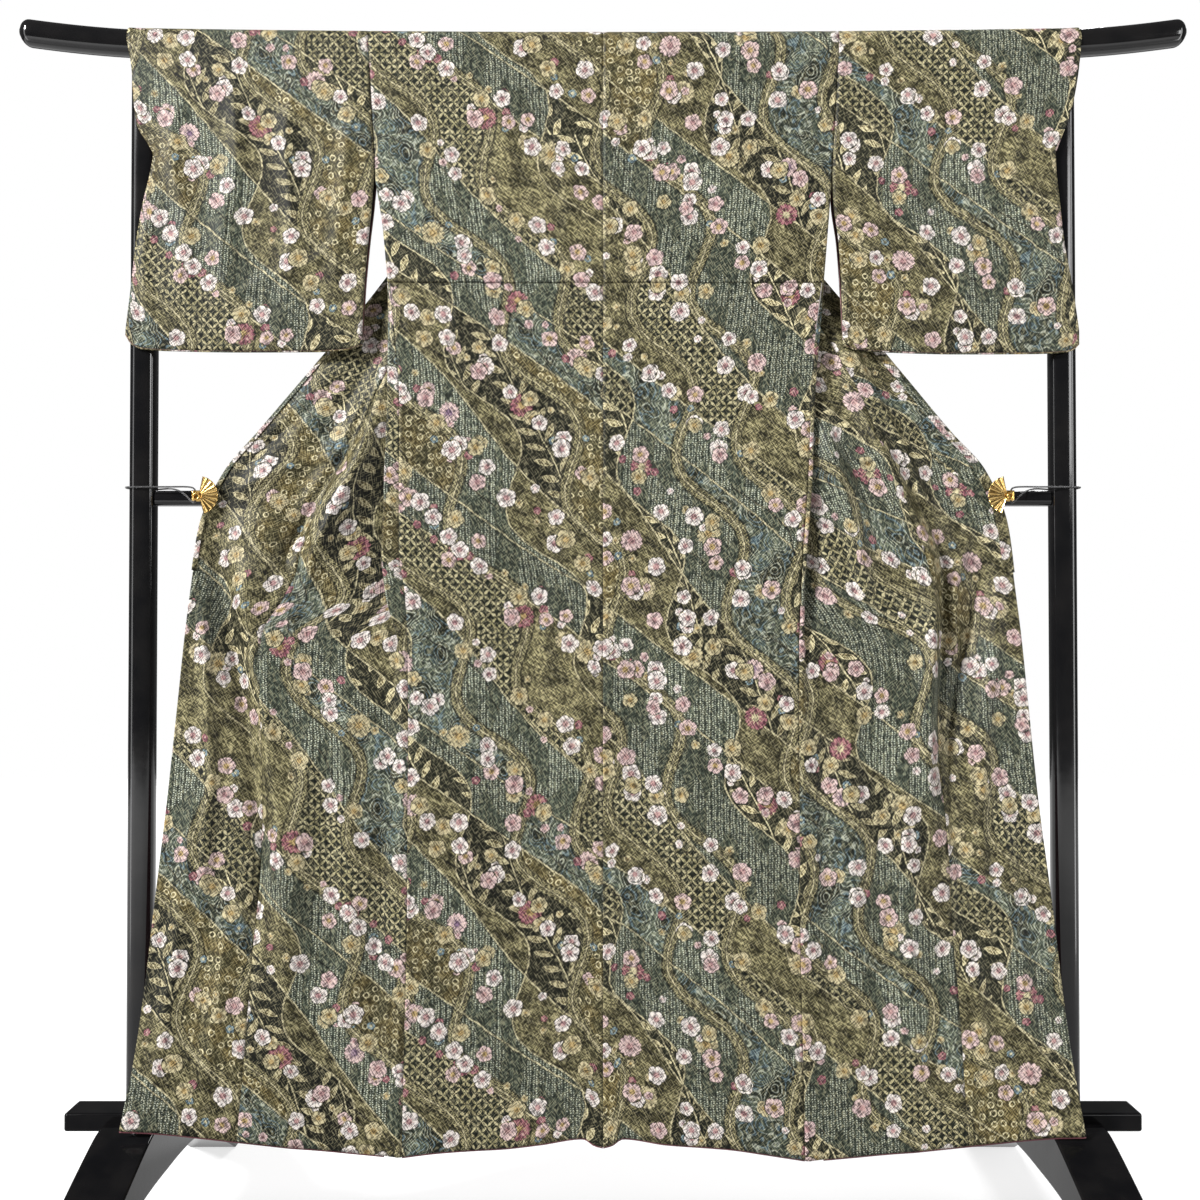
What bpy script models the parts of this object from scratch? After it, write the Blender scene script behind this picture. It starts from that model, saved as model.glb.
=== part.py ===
"""A lined kimono hung by its sleeves on a lacquered stand, seen from behind.

Metres, +Z up. The origin is on the floor under the middle of the stand, +X runs along the top bar
and the kimono's back faces -Y. In the tables, x is measured outward from the middle, so that one
table can serve a left piece (side -1) or a right piece (side +1).
"""

import math

import bpy
import numpy as np

WALL = 0.0016
SEAM_GAP = 0.0005
TOUCH_GAP = 0.0003

# The stand.
BAR_HALF_LENGTH = 0.847
BAR_HALF_HEIGHT = 0.0195
BAR_HALF_DEPTH = 0.0165
BAR_CENTRE_Z = 1.7283
BAR_SAG = 0.0058
BAR_SAG_REACH = 0.69
BAR_TIP_START = 0.66
BAR_TIP_RISE = 0.0145
BAR_ROUND_END = 0.016
BAR_POWER = 2.3
POST_X = 0.664
POST_HALF_WIDTH = 0.019
POST_HALF_DEPTH = 0.0165
RAIL_Z = 1.0722
RAIL_HALF_HEIGHT = 0.0112
RAIL_HALF_DEPTH = 0.0115
PLANK_HALF_LENGTH = 0.7635
PLANK_HALF_DEPTH = 0.028
PLANK_BOTTOM_Z = 0.1720
PLANK_HEIGHT = 0.0262
PLANK_EDGE = 0.004
FOOT_HALF_WIDTH = 0.040
FOOT_EDGE = 0.0022

# Half of a foot's outline, as corners that are then rounded: from the base plank over the top and
# down to the toe, and below from under the plank to the sole. y, z.
FOOT_TOP = [(0.0283, 0.1860), (0.055, 0.1862), (0.090, 0.1765), (0.190, 0.1390), (0.330, 0.0800),
            (0.400, 0.0500), (0.420, 0.0300), (0.420, 0.0000)]
FOOT_UNDER = [(0.000, 0.1080), (0.140, 0.1100), (0.240, 0.0680), (0.340, 0.0200), (0.375, 0.0000)]
FOOT_TOP_STEPS = 20
FOOT_UNDER_STEPS = 13

# The clips and their cords.
CLIP_HUB_Z = 1.0735
CLIP_HUB_X = 0.5735
FAN_RADIUS = 0.0275
FAN_HUB_RADIUS = 0.005
FAN_TOP_ANGLE = 78.0
FAN_BOTTOM_ANGLE = -74.0
FAN_PLEATS = 9
FAN_PLEAT_DEPTH = 0.0009
FAN_WALL = 0.0009
JAW_WALL = 0.0010
JAW_HALF_HEIGHT = 0.007
CORD_RADIUS = 0.0012

# The kimono's heights.
SLIT_END_Z = 1.385
CLOTH_BAR_DEPTH = BAR_HALF_DEPTH + 0.0016
CLOTH_BAR_HEIGHT = BAR_HALF_HEIGHT + 0.0016
NECK_HALF_WIDTH = 0.088
NECK_ANGLE = 50
FRONT_WIDTH = 0.240
FACING_DROP = 0.0025
FACING_HEIGHT = 0.045
COLLAR_WIDTH_NECK = 0.055
COLLAR_WIDTH_END = 0.068

# Outer edge of the back panel from the shoulder to the hem: height, left x, right x, and how far the
# edge stands towards the viewer.
BACK_EDGE = dict(
    z=[1.735, 1.640, 1.546, 1.460, 1.385, 1.300, 1.200, 1.095, 1.000, 0.930, 0.850, 0.700, 0.500, 0.300, 0.140],
    left=[0.3383, 0.3335, 0.3275, 0.3150, 0.3075, 0.2960, 0.2890, 0.2885, 0.2880, 0.2790,
          0.2750, 0.2742, 0.2752, 0.2780, 0.2812],
    right=[0.3405, 0.3350, 0.3290, 0.3220, 0.3150, 0.3040, 0.2950, 0.2900, 0.2830, 0.2790,
           0.2760, 0.2758, 0.2765, 0.2790, 0.2818],
    y=[-0.0182, -0.0200, -0.0215, -0.0240, -0.0280, -0.0350, -0.0400, -0.0430, -0.0450, -0.0460,
       -0.0465, -0.0470, -0.0480, -0.0500, -0.0520],
)
BACK_MIDDLE_Y = [-0.0182, -0.0200, -0.0210, -0.0225, -0.0245, -0.0270, -0.0300, -0.0330, -0.0340, -0.0345,
                 -0.0350, -0.0360, -0.0380, -0.0410, -0.0440]

# Hem of the back panel: x from the centre seam outward, height on the left, height on the right.
BACK_HEM = dict(
    x=[0.000, 0.012, 0.028, 0.090, 0.145, 0.180, 0.230, 0.284],
    left=[0.1570, 0.1600, 0.1697, 0.1614, 0.1559, 0.1545, 0.1517, 0.1462],
    right=[0.1570, 0.1600, 0.1697, 0.1614, 0.1580, 0.1555, 0.1490, 0.1418],
)

# Cross-sections of the front, from the shoulder to the hem. Each runs from the side seam to a fold
# edge beside the back panel and inward behind the back to a turn, where two layers lie a leg apart.
# It then runs outward over a ridge, a dip, the ridge at the gore's seam and a hollow to the front
# edge. z is the height at the side seam and edge_z the height at the front edge.
INNER_COLUMNS = "z seam_y fold_x fold_y turn_x turn_y leg".split()
OUTER_COLUMNS = (
    "z edge_z ridge_x ridge_y dip_x dip_y gore_x gore_y hollow_x hollow_y edge_x edge_y"
).split()
INNER_LEFT = [
    (1.700,  0.0185, 0.3360,  0.0185, 0.106,  0.0190, 0.006),
    (1.640,  0.0185, 0.3330,  0.0185, 0.122,  0.0170, 0.006),
    (1.546,  0.0165, 0.3270,  0.0165, 0.140,  0.0120, 0.007),
    (1.460,  0.0060, 0.3150,  0.0055, 0.148,  0.0040, 0.008),
    (1.385, -0.0250, 0.3090, -0.0210, 0.156, -0.0060, 0.008),
    (1.300, -0.0350, 0.3060, -0.0330, 0.178, -0.0140, 0.009),
    (1.200, -0.0400, 0.3065, -0.0390, 0.201, -0.0200, 0.010),
    (1.095, -0.0430, 0.3095, -0.0440, 0.226, -0.0240, 0.010),
    (1.045, -0.0440, 0.3105, -0.0460, 0.245, -0.0250, 0.010),
    (0.985, -0.0450, 0.3120, -0.0480, 0.262, -0.0280, 0.009),
    (0.930, -0.0460, 0.3060, -0.0480, 0.274, -0.0330, 0.008),
    (0.850, -0.0465, 0.2860, -0.0480, 0.292, -0.0430, 0.004),
    (0.760, -0.0470, 0.2830, -0.0480, 0.296, -0.0450, 0.002),
    (0.640, -0.0470, 0.2840, -0.0480, 0.300, -0.0455, 0.002),
    (0.440, -0.0490, 0.2860, -0.0500, 0.302, -0.0480, 0.002),
    (0.280, -0.0500, 0.2880, -0.0520, 0.304, -0.0500, 0.002),
    (0.146, -0.0520, 0.2900, -0.0540, 0.306, -0.0530, 0.002),
]
INNER_RIGHT = [
    (1.700,  0.0185, 0.3380,  0.0185, 0.106,  0.0190, 0.006),
    (1.640,  0.0185, 0.3345,  0.0185, 0.122,  0.0170, 0.006),
    (1.546,  0.0165, 0.3285,  0.0165, 0.140,  0.0120, 0.007),
    (1.460,  0.0060, 0.3220,  0.0055, 0.150,  0.0040, 0.008),
    (1.385, -0.0250, 0.3165, -0.0210, 0.160, -0.0060, 0.008),
    (1.300, -0.0350, 0.3085, -0.0330, 0.185, -0.0140, 0.009),
    (1.200, -0.0400, 0.3000, -0.0390, 0.210, -0.0200, 0.010),
    (1.095, -0.0430, 0.2960, -0.0440, 0.232, -0.0240, 0.010),
    (1.045, -0.0440, 0.2920, -0.0460, 0.245, -0.0250, 0.010),
    (0.985, -0.0450, 0.2870, -0.0480, 0.258, -0.0280, 0.009),
    (0.930, -0.0460, 0.2840, -0.0480, 0.268, -0.0330, 0.008),
    (0.850, -0.0465, 0.2830, -0.0480, 0.284, -0.0420, 0.004),
    (0.760, -0.0470, 0.2840, -0.0480, 0.296, -0.0450, 0.002),
    (0.640, -0.0470, 0.2850, -0.0480, 0.300, -0.0455, 0.002),
    (0.440, -0.0490, 0.2870, -0.0500, 0.302, -0.0480, 0.002),
    (0.280, -0.0500, 0.2890, -0.0520, 0.304, -0.0500, 0.002),
    (0.141, -0.0520, 0.2910, -0.0540, 0.308, -0.0530, 0.002),
]
OUTER_LEFT = [
    (1.700, 1.7060, 0.108,  0.0250, 0.110,  0.0250, 0.112,  0.0250, 0.114,  0.0250, 0.1150,  0.0255),
    (1.640, 1.6480, 0.130,  0.0230, 0.136,  0.0230, 0.142,  0.0230, 0.148,  0.0235, 0.1520,  0.0240),
    (1.546, 1.5600, 0.152,  0.0180, 0.166,  0.0180, 0.180,  0.0185, 0.194,  0.0190, 0.2070,  0.0195),
    (1.460, 1.4840, 0.170,  0.0110, 0.192,  0.0115, 0.214,  0.0125, 0.236,  0.0135, 0.2560,  0.0140),
    (1.385, 1.4130, 0.190,  0.0030, 0.215,  0.0035, 0.240,  0.0050, 0.275,  0.0070, 0.3005,  0.0085),
    (1.300, 1.3410, 0.240, -0.0060, 0.280, -0.0020, 0.305, -0.0010, 0.332,  0.0010, 0.3535,  0.0030),
    (1.200, 1.2545, 0.322, -0.0240, 0.345, -0.0040, 0.372, -0.0120, 0.400, -0.0100, 0.4225, -0.0070),
    (1.095, 1.1640, 0.360, -0.0440, 0.393, -0.0160, 0.430, -0.0260, 0.465, -0.0240, 0.4945, -0.0200),
    (1.045, 1.1100, 0.385, -0.0500, 0.420, -0.0220, 0.456, -0.0320, 0.505, -0.0290, 0.5380, -0.0260),
    (0.985, 1.0300, 0.405, -0.0520, 0.442, -0.0300, 0.480, -0.0460, 0.545, -0.0260, 0.5725, -0.0330),
    (0.930, 0.9520, 0.400, -0.0500, 0.440, -0.0380, 0.500, -0.0550, 0.540, -0.0240, 0.5830, -0.0380),
    (0.850, 0.8750, 0.380, -0.0470, 0.430, -0.0440, 0.488, -0.0560, 0.526, -0.0260, 0.5918, -0.0400),
    (0.760, 0.7850, 0.370, -0.0450, 0.420, -0.0470, 0.468, -0.0520, 0.500, -0.0340, 0.6005, -0.0410),
    (0.640, 0.6600, 0.370, -0.0440, 0.420, -0.0480, 0.467, -0.0500, 0.505, -0.0420, 0.6130, -0.0420),
    (0.440, 0.4600, 0.370, -0.0460, 0.425, -0.0500, 0.480, -0.0520, 0.530, -0.0460, 0.6350, -0.0450),
    (0.280, 0.3060, 0.375, -0.0490, 0.435, -0.0550, 0.498, -0.0600, 0.560, -0.0600, 0.6490, -0.0630),
    (0.146, 0.1930, 0.380, -0.0530, 0.450, -0.0610, 0.510, -0.0680, 0.590, -0.0760, 0.6660, -0.0820),
]
OUTER_RIGHT = [
    (1.700, 1.7060, 0.108,  0.0250, 0.110,  0.0250, 0.112,  0.0250, 0.114,  0.0250, 0.1150,  0.0255),
    (1.640, 1.6480, 0.130,  0.0230, 0.136,  0.0230, 0.142,  0.0230, 0.148,  0.0235, 0.1530,  0.0240),
    (1.546, 1.5600, 0.153,  0.0180, 0.167,  0.0180, 0.181,  0.0185, 0.195,  0.0190, 0.2090,  0.0195),
    (1.460, 1.4840, 0.172,  0.0110, 0.194,  0.0115, 0.216,  0.0125, 0.240,  0.0135, 0.2600,  0.0140),
    (1.385, 1.4130, 0.192,  0.0030, 0.218,  0.0035, 0.244,  0.0050, 0.278,  0.0070, 0.3040,  0.0085),
    (1.300, 1.3410, 0.245, -0.0060, 0.292, -0.0040, 0.325, -0.0100, 0.345,  0.0010, 0.3610,  0.0030),
    (1.200, 1.2545, 0.300, -0.0240, 0.330, -0.0160, 0.374, -0.0340, 0.384, -0.0080, 0.4280, -0.0070),
    (1.095, 1.1640, 0.325, -0.0440, 0.365, -0.0300, 0.420, -0.0480, 0.432, -0.0200, 0.4980, -0.0200),
    (1.045, 1.1100, 0.345, -0.0480, 0.385, -0.0340, 0.443, -0.0540, 0.456, -0.0240, 0.5440, -0.0260),
    (0.985, 1.0300, 0.360, -0.0490, 0.405, -0.0380, 0.466, -0.0580, 0.486, -0.0280, 0.5740, -0.0330),
    (0.930, 0.9520, 0.360, -0.0480, 0.410, -0.0420, 0.469, -0.0580, 0.515, -0.0240, 0.5825, -0.0380),
    (0.850, 0.8750, 0.360, -0.0460, 0.410, -0.0440, 0.467, -0.0570, 0.508, -0.0260, 0.5915, -0.0400),
    (0.760, 0.7850, 0.365, -0.0450, 0.410, -0.0460, 0.465, -0.0540, 0.495, -0.0360, 0.6000, -0.0410),
    (0.640, 0.6600, 0.370, -0.0440, 0.420, -0.0470, 0.467, -0.0510, 0.505, -0.0420, 0.6120, -0.0420),
    (0.440, 0.4600, 0.375, -0.0460, 0.430, -0.0500, 0.485, -0.0530, 0.535, -0.0460, 0.6360, -0.0450),
    (0.280, 0.3020, 0.380, -0.0490, 0.440, -0.0550, 0.505, -0.0600, 0.565, -0.0600, 0.6500, -0.0630),
    (0.141, 0.1860, 0.385, -0.0530, 0.455, -0.0610, 0.515, -0.0680, 0.595, -0.0760, 0.6640, -0.0840),
]

# Front hem below the straight line between its ends: fraction of the width, drop.
FRONT_HEM_DROP = dict(
    part=[0.0, 0.20, 0.40, 0.60, 0.80, 0.90, 1.0],
    drop=[0.0, 0.0020, 0.0025, 0.0, -0.0022, -0.0022, 0.0],
)

# Width of the gore, by height at the side seam.
GORE_WIDTH = dict(
    z=[0.140, 0.700, 1.000, 1.150, 1.300, 1.420, 1.500],
    left=[0.166, 0.156, 0.150, 0.120, 0.075, 0.035, 0.000],
    right=[0.166, 0.156, 0.140, 0.090, 0.054, 0.027, 0.000],
)
GORE_LEAST_WIDTH = 0.012

# Sleeve outline: height, x of the armhole or inner edge, x of the cuff edge on the viewer's layer
# and on the far layer.
SLEEVE_LEFT = dict(
    z=[1.735, 1.690, 1.650, 1.610, 1.578, 1.566, 1.540, 1.500, 1.440, 1.370, 1.310],
    inner=[0.3391, 0.3368, 0.3348, 0.3325, 0.3304, 0.3297, 0.3292, 0.3315, 0.3372, 0.3425, 0.3450],
    cuff=[0.6868, 0.6785, 0.6755, 0.6700, 0.6520, 0.6462, 0.6500, 0.6590, 0.6690, 0.6765, 0.6835],
    far=[0.6840, 0.6740, 0.6430, 0.6410, 0.6410, 0.6440, 0.6500, 0.6590, 0.6690, 0.6765, 0.6835],
)
SLEEVE_RIGHT = dict(
    z=[1.735, 1.690, 1.650, 1.610, 1.578, 1.566, 1.540, 1.500, 1.440, 1.370, 1.310],
    inner=[0.3413, 0.3385, 0.3362, 0.3338, 0.3318, 0.3311, 0.3300, 0.3310, 0.3380, 0.3420, 0.3435],
    cuff=[0.6900, 0.6850, 0.6780, 0.6665, 0.6540, 0.6500, 0.6510, 0.6550, 0.6610, 0.6730, 0.6815],
    far=[0.6850, 0.6750, 0.6430, 0.6410, 0.6410, 0.6450, 0.6510, 0.6550, 0.6610, 0.6730, 0.6815],
)
SLEEVE_BOTTOM = dict(
    part=[0.00, 0.06, 0.20, 0.50, 0.80, 0.93, 0.975, 1.00],
    left=[1.2915, 1.2852, 1.2822, 1.2818, 1.2835, 1.2865, 1.2930, 1.3060],
    right=[1.2905, 1.2850, 1.2815, 1.2790, 1.2795, 1.2815, 1.2850, 1.2930],
)

# Depth of the sleeve's two layers by height, and of the far layer beside the post.
NEAR_LAYER_Y = dict(
    z=[1.735, 1.700, 1.566, 1.440, 1.330, 1.290],
    y=[-0.0182, -0.0196, -0.0225, -0.0240, -0.0250, -0.0240],
)
FAR_LAYER_Y = dict(
    z=[1.735, 1.700, 1.566, 1.440, 1.330, 1.290],
    y=[0.0182, 0.0192, 0.0060, -0.0040, -0.0120, -0.0215],
)
POST_SIDE_Y = dict(
    z=[1.735, 1.650, 1.630, 1.608, 1.588, 1.566, 1.290],
    y=[0.0182, 0.0205, 0.0190, 0.0080, -0.0100, -0.0200, -0.0215],
)
SLEEVE_POST_START = 0.800

# The collar's seam from the middle of the neck to the first cross-section: x, z, y. Then how far the
# band slants down from level, by height of the front edge, and where it ends.
COLLAR_NECK = [
    (0.000, 1.7470, 0.0212),
    (0.035, 1.7470, 0.0212),
    (0.068, 1.7455, 0.0214),
    (0.092, 1.7340, 0.0240),
]
COLLAR_SLANT = dict(z=[1.706, 1.640, 1.400, 1.150, 1.100, 1.060, 1.000], angle=[50, 36, 34, 38, 34, 20, 8])
COLLAR_END_Z = 0.960
COLLAR_FOLD_LEFT = 0.005
COLLAR_FOLD_RIGHT = 0.014
COLLAR_FOLD_WALL = 0.0014
LAYER_STEP = 0.0021
COLLAR_STEP = 0.0028
FACING_STEP = 0.0024

# The clip: depth of the fan, the bent plate's course in x and y, and the elastic's course.
FAN_Y = -0.0385
JAW_ROUTE = [
    (0.5660, -0.0368),
    (0.5790, -0.0368),
    (0.5850, -0.0368),
    (0.5850, -0.0205),
    (0.5790, -0.0205),
    (0.5540, -0.0205),
]
ELASTIC_ROUTE = [
    (0.5810, -0.0285, 1.0735),
    (0.5810, -0.0285, 1.0800),
    (0.5830, -0.0280, 1.0850),
    (0.5930, -0.0240, 1.0872),
    (0.6200, -0.0200, 1.0872),
    (0.6450, -0.0196, 1.0872),
    (0.6640, -0.0200, 1.0872),
    (0.6860, -0.0190, 1.0872),
    (0.6890, 0.0000, 1.0872),
    (0.6860, 0.0190, 1.0872),
    (0.6640, 0.0200, 1.0872),
    (0.6440, 0.0170, 1.0872),
    (0.6250, 0.0000, 1.0872),
    (0.6050, -0.0150, 1.0820),
    (0.5900, -0.0240, 1.0680),
    (0.5830, -0.0280, 1.0620),
    (0.5810, -0.0285, 1.0670),
]

# How fine each piece's grid is.
BACK_ROWS = 15
WRAP_ROWS = 9
BAR_SIDES = 18
FRONT_ROWS = 24
BODY_COLUMNS = 15
GORE_COLUMNS = 7
SLEEVE_STEPS = (0, 0.05, 0.13, 0.26, 0.40, 0.53, 0.60, 0.635, 0.675, 0.72, 0.77, 0.82, 0.87, 0.93, 1)
SLEEVE_COLUMNS = 11
COLLAR_COLUMNS = 5
FACING_COLUMNS = 16
SPLINE_SAMPLES = 150

# Lead-in of the folds beside and behind the back panel, and how far they must overlap to be whole.
FOLD_LEAD = 0.004
TURN_LEAD = 0.010
FOLD_OPENS = 0.020

MATERIALS = {
    # name: colour, roughness, metallic
    "printed_silk": ((0.115, 0.120, 0.075), 0.55, 0.0),
    "collar_silk": ((0.130, 0.130, 0.080), 0.55, 0.0),
    "rose_silk": ((0.260, 0.085, 0.095), 0.60, 0.0),
    "black_lacquer": ((0.006, 0.006, 0.007), 0.12, 0.0),
    "gold": ((0.600, 0.400, 0.130), 0.25, 1.0),
    "elastic": ((0.010, 0.010, 0.011), 0.70, 0.0),
}


def clear_scene():
    for obj in list(bpy.data.objects):
        bpy.data.objects.remove(obj, do_unlink=True)


def make_material(name):
    colour, roughness, metallic = MATERIALS[name]
    material = bpy.data.materials.new(name)
    material.use_nodes = True
    shader = material.node_tree.nodes["Principled BSDF"]
    shader.inputs["Base Color"].default_value = (*colour, 1.0)
    shader.inputs["Roughness"].default_value = roughness
    shader.inputs["Metallic"].default_value = metallic
    return material


def finish(mesh, name, materials, material):
    """The mesh as a smooth-shaded object of the scene."""
    mesh.shade_smooth()
    mesh.set_sharp_from_angle(angle=math.radians(40))
    obj = bpy.data.objects.new(name, mesh)
    obj.data.materials.append(materials[material])
    bpy.context.scene.collection.objects.link(obj)
    return obj


def grid_mesh(name, grid, flip=False):
    """A sheet of four-sided faces on a grid of points, row after row."""
    rows, columns = grid.shape[:2]
    index = np.arange(rows * columns).reshape(rows, columns)
    corners = np.stack([index[:-1, :-1], index[:-1, 1:], index[1:, 1:], index[1:, :-1]], axis=-1)
    faces = corners.reshape(-1, 4)
    if flip:
        faces = faces[:, ::-1]
    mesh = bpy.data.meshes.new(name)
    mesh.from_pydata(grid.reshape(-1, 3).tolist(), [], faces.tolist())
    return mesh


def cloth(name, grid, materials, material="printed_silk", wall=WALL, flip=False):
    """A wall of even thickness whose middle is the grid."""
    obj = finish(grid_mesh(name, grid, flip), name, materials, material)
    thicken = obj.modifiers.new("Wall", "SOLIDIFY")
    thicken.thickness = wall
    thicken.offset = 0.0
    return obj


def closed_tube(name, rings, materials, material):
    """A solid through rings of points, closed at its ends."""
    count, sides = rings.shape[:2]
    index = np.arange(count * sides).reshape(count, sides)
    following = np.roll(index, -1, axis=1)
    faces = np.stack([index[:-1], following[:-1], following[1:], index[1:]], axis=-1)
    faces = faces.reshape(-1, 4).tolist()
    faces.append(index[0][::-1].tolist())
    faces.append(index[-1].tolist())
    mesh = bpy.data.meshes.new(name)
    mesh.from_pydata(rings.reshape(-1, 3).tolist(), [], faces)
    return finish(mesh, name, materials, material)


def smooth_through(knots, values, at):
    """Values at given places on a smooth curve through the knots, with no overshoot between them."""
    knots = np.asarray(knots, float)
    values = np.asarray(values, float)
    if knots[0] > knots[-1]:
        knots = knots[::-1]
        values = values[::-1]
    steps = np.diff(knots)
    slopes = np.diff(values) / steps
    tangents = np.zeros_like(values)
    same_way = slopes[:-1] * slopes[1:] > 0
    before = 2 * steps[1:] + steps[:-1]
    after = steps[1:] + 2 * steps[:-1]
    safe_first = np.where(same_way, slopes[:-1], 1.0)
    safe_second = np.where(same_way, slopes[1:], 1.0)
    mean = (before + after) / (before / safe_first + after / safe_second)
    tangents[1:-1] = np.where(same_way, mean, 0.0)
    tangents[0] = slopes[0]
    tangents[-1] = slopes[-1]
    at = np.clip(at, knots[0], knots[-1])
    i = np.clip(np.searchsorted(knots, at) - 1, 0, len(steps) - 1)
    t = (at - knots[i]) / steps[i]
    h = steps[i]
    first = (1 + 2 * t) * (1 - t) ** 2 * values[i] + t * (1 - t) ** 2 * h * tangents[i]
    second = t * t * (3 - 2 * t) * values[i + 1] + t * t * (t - 1) * h * tangents[i + 1]
    return first + second


def rounded_path(points, samples):
    """A curve that starts and ends at the first and last point and rounds each corner between."""
    points = np.asarray(points, float)
    count = len(points) - 2
    middles = (points[1:-2] + points[2:-1]) / 2
    starts = np.concatenate([points[:1], middles])
    ends = np.concatenate([middles, points[-1:]])
    t = np.linspace(0, count, samples)
    i = np.minimum(t.astype(int), count - 1)
    t = (t - i)[:, None]
    return (1 - t) ** 2 * starts[i] + 2 * t * (1 - t) * points[i + 1] + t * t * ends[i]


def path_lengths(path):
    return np.concatenate([[0.0], np.cumsum(np.linalg.norm(np.diff(path, axis=0), axis=1))])


def evenly_along(path, count):
    """Points at equal distances along a path."""
    part = path_lengths(path)
    places = np.linspace(0, part[-1], count)
    return np.stack([np.interp(places, part, path[:, axis]) for axis in range(3)], axis=-1)


def points_between(path, start, end, count):
    """Points between two distances along a path, closer together where the path bends."""
    samples = np.arange(len(path))
    ends = np.interp([start, end], path_lengths(path), samples)
    places = np.linspace(ends[0], ends[1], count)
    return np.stack([np.interp(places, samples, path[:, axis]) for axis in range(3)], axis=-1)


def bar_centre(x):
    """Height of the bar's middle line: a slight sag between the posts, then ends that rise."""
    x = np.abs(x)
    tip = np.clip((x - BAR_TIP_START) / (BAR_HALF_LENGTH - BAR_TIP_START), 0, 1)
    return BAR_CENTRE_Z + BAR_SAG * (x / BAR_SAG_REACH) ** 2 + BAR_TIP_RISE * tip ** 1.6


def round_section(half_width, half_height, sides, power):
    """Points round a section between an ellipse, at power 2, and a rectangle."""
    angle = np.linspace(0, 2 * np.pi, sides, endpoint=False)
    across = np.sign(np.cos(angle)) * np.abs(np.cos(angle)) ** (2 / power)
    up = np.sign(np.sin(angle)) * np.abs(np.sin(angle)) ** (2 / power)
    return half_width * across, half_height * up


def build_bar(materials):
    straight = np.linspace(0, BAR_TIP_START, 6)
    body = np.concatenate([straight, np.linspace(BAR_TIP_START, BAR_HALF_LENGTH, 7)[1:-1]])
    tip = BAR_HALF_LENGTH - BAR_ROUND_END * (1 - np.sin(np.radians([0, 35, 65, 90])))
    half = np.concatenate([body[body < tip[0] - 0.004], tip])
    x = np.concatenate([-half[::-1], half[1:]])
    from_tip = np.clip((np.abs(x) - tip[0]) / BAR_ROUND_END, 0, 1)
    size = np.maximum(np.sqrt(1 - from_tip ** 2), 0.35)
    across, up = round_section(BAR_HALF_DEPTH, BAR_HALF_HEIGHT, BAR_SIDES, BAR_POWER)
    rings = np.empty((len(x), BAR_SIDES, 3))
    rings[:, :, 0] = x[:, None]
    rings[:, :, 1] = across * size[:, None]
    rings[:, :, 2] = bar_centre(x)[:, None] + up * size[:, None]
    closed_tube("top_bar", rings, materials, "black_lacquer")


def build_post(name, side, materials):
    top = bar_centre(POST_X) - BAR_HALF_HEIGHT - TOUCH_GAP
    bottom = PLANK_BOTTOM_Z + PLANK_HEIGHT + TOUCH_GAP
    across, deep = round_section(POST_HALF_WIDTH, POST_HALF_DEPTH, 20, 2.8)
    rings = np.empty((2, 20, 3))
    rings[:, :, 0] = side * POST_X + across
    rings[:, :, 1] = deep
    rings[:, :, 2] = np.array([bottom, top])[:, None]
    closed_tube(name, rings, materials, "black_lacquer")


def build_rail(materials):
    half_length = POST_X - POST_HALF_WIDTH - TOUCH_GAP
    across, up = round_section(RAIL_HALF_DEPTH, RAIL_HALF_HEIGHT, 16, 3.0)
    rings = np.empty((2, 16, 3))
    rings[:, :, 0] = np.array([-half_length, half_length])[:, None]
    rings[:, :, 1] = across
    rings[:, :, 2] = RAIL_Z + up
    closed_tube("mid_rail", rings, materials, "black_lacquer")


def bevelled(obj, width, segments=2):
    bevel = obj.modifiers.new("Edge", "BEVEL")
    bevel.width = width
    bevel.segments = segments
    bevel.limit_method = "ANGLE"
    bevel.angle_limit = math.radians(50)


def build_plank(materials):
    x, y = PLANK_HALF_LENGTH, PLANK_HALF_DEPTH
    low, high = PLANK_BOTTOM_Z, PLANK_BOTTOM_Z + PLANK_HEIGHT
    rings = np.empty((2, 4, 3))
    rings[:, :, 0] = np.array([-x, x])[:, None]
    rings[:, :, 1] = [y, y, -y, -y]
    rings[:, :, 2] = [low, high, high, low]
    bevelled(closed_tube("base_plank", rings, materials, "black_lacquer"), PLANK_EDGE)


def build_foot(name, side, materials):
    """An arch from front to back, with a shallow notch in its crown that takes the base plank."""
    notch = [(PLANK_HALF_DEPTH + TOUCH_GAP, PLANK_BOTTOM_Z - TOUCH_GAP)]
    top = rounded_path([(y, z, 0.0) for y, z in FOOT_TOP], FOOT_TOP_STEPS)[:, :2]
    under = rounded_path([(y, z, 0.0) for y, z in FOOT_UNDER], FOOT_UNDER_STEPS)[::-1, :2]
    half = np.concatenate([notch, top, under])
    mirrored = half[::-1][1:] * [-1, 1]
    outline = np.concatenate([half, mirrored])
    rings = np.empty((2, len(outline), 3))
    rings[:, :, 0] = (side * POST_X + np.array([FOOT_HALF_WIDTH, -FOOT_HALF_WIDTH]))[:, None]
    rings[:, :, 1] = outline[:, 0]
    rings[:, :, 2] = outline[:, 1]
    bevelled(closed_tube(name, rings, materials, "black_lacquer"), FOOT_EDGE, segments=1)


def back_edge_x(side, z):
    return smooth_through(BACK_EDGE["z"], BACK_EDGE["left" if side < 0 else "right"], z)


def front_table(side):
    """The cross-sections' tables for one side as named columns."""
    inner = np.array(INNER_LEFT if side < 0 else INNER_RIGHT)
    outer = np.array(OUTER_LEFT if side < 0 else OUTER_RIGHT)
    return {**dict(zip(INNER_COLUMNS, inner.T)), **dict(zip(OUTER_COLUMNS, outer.T))}


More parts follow.
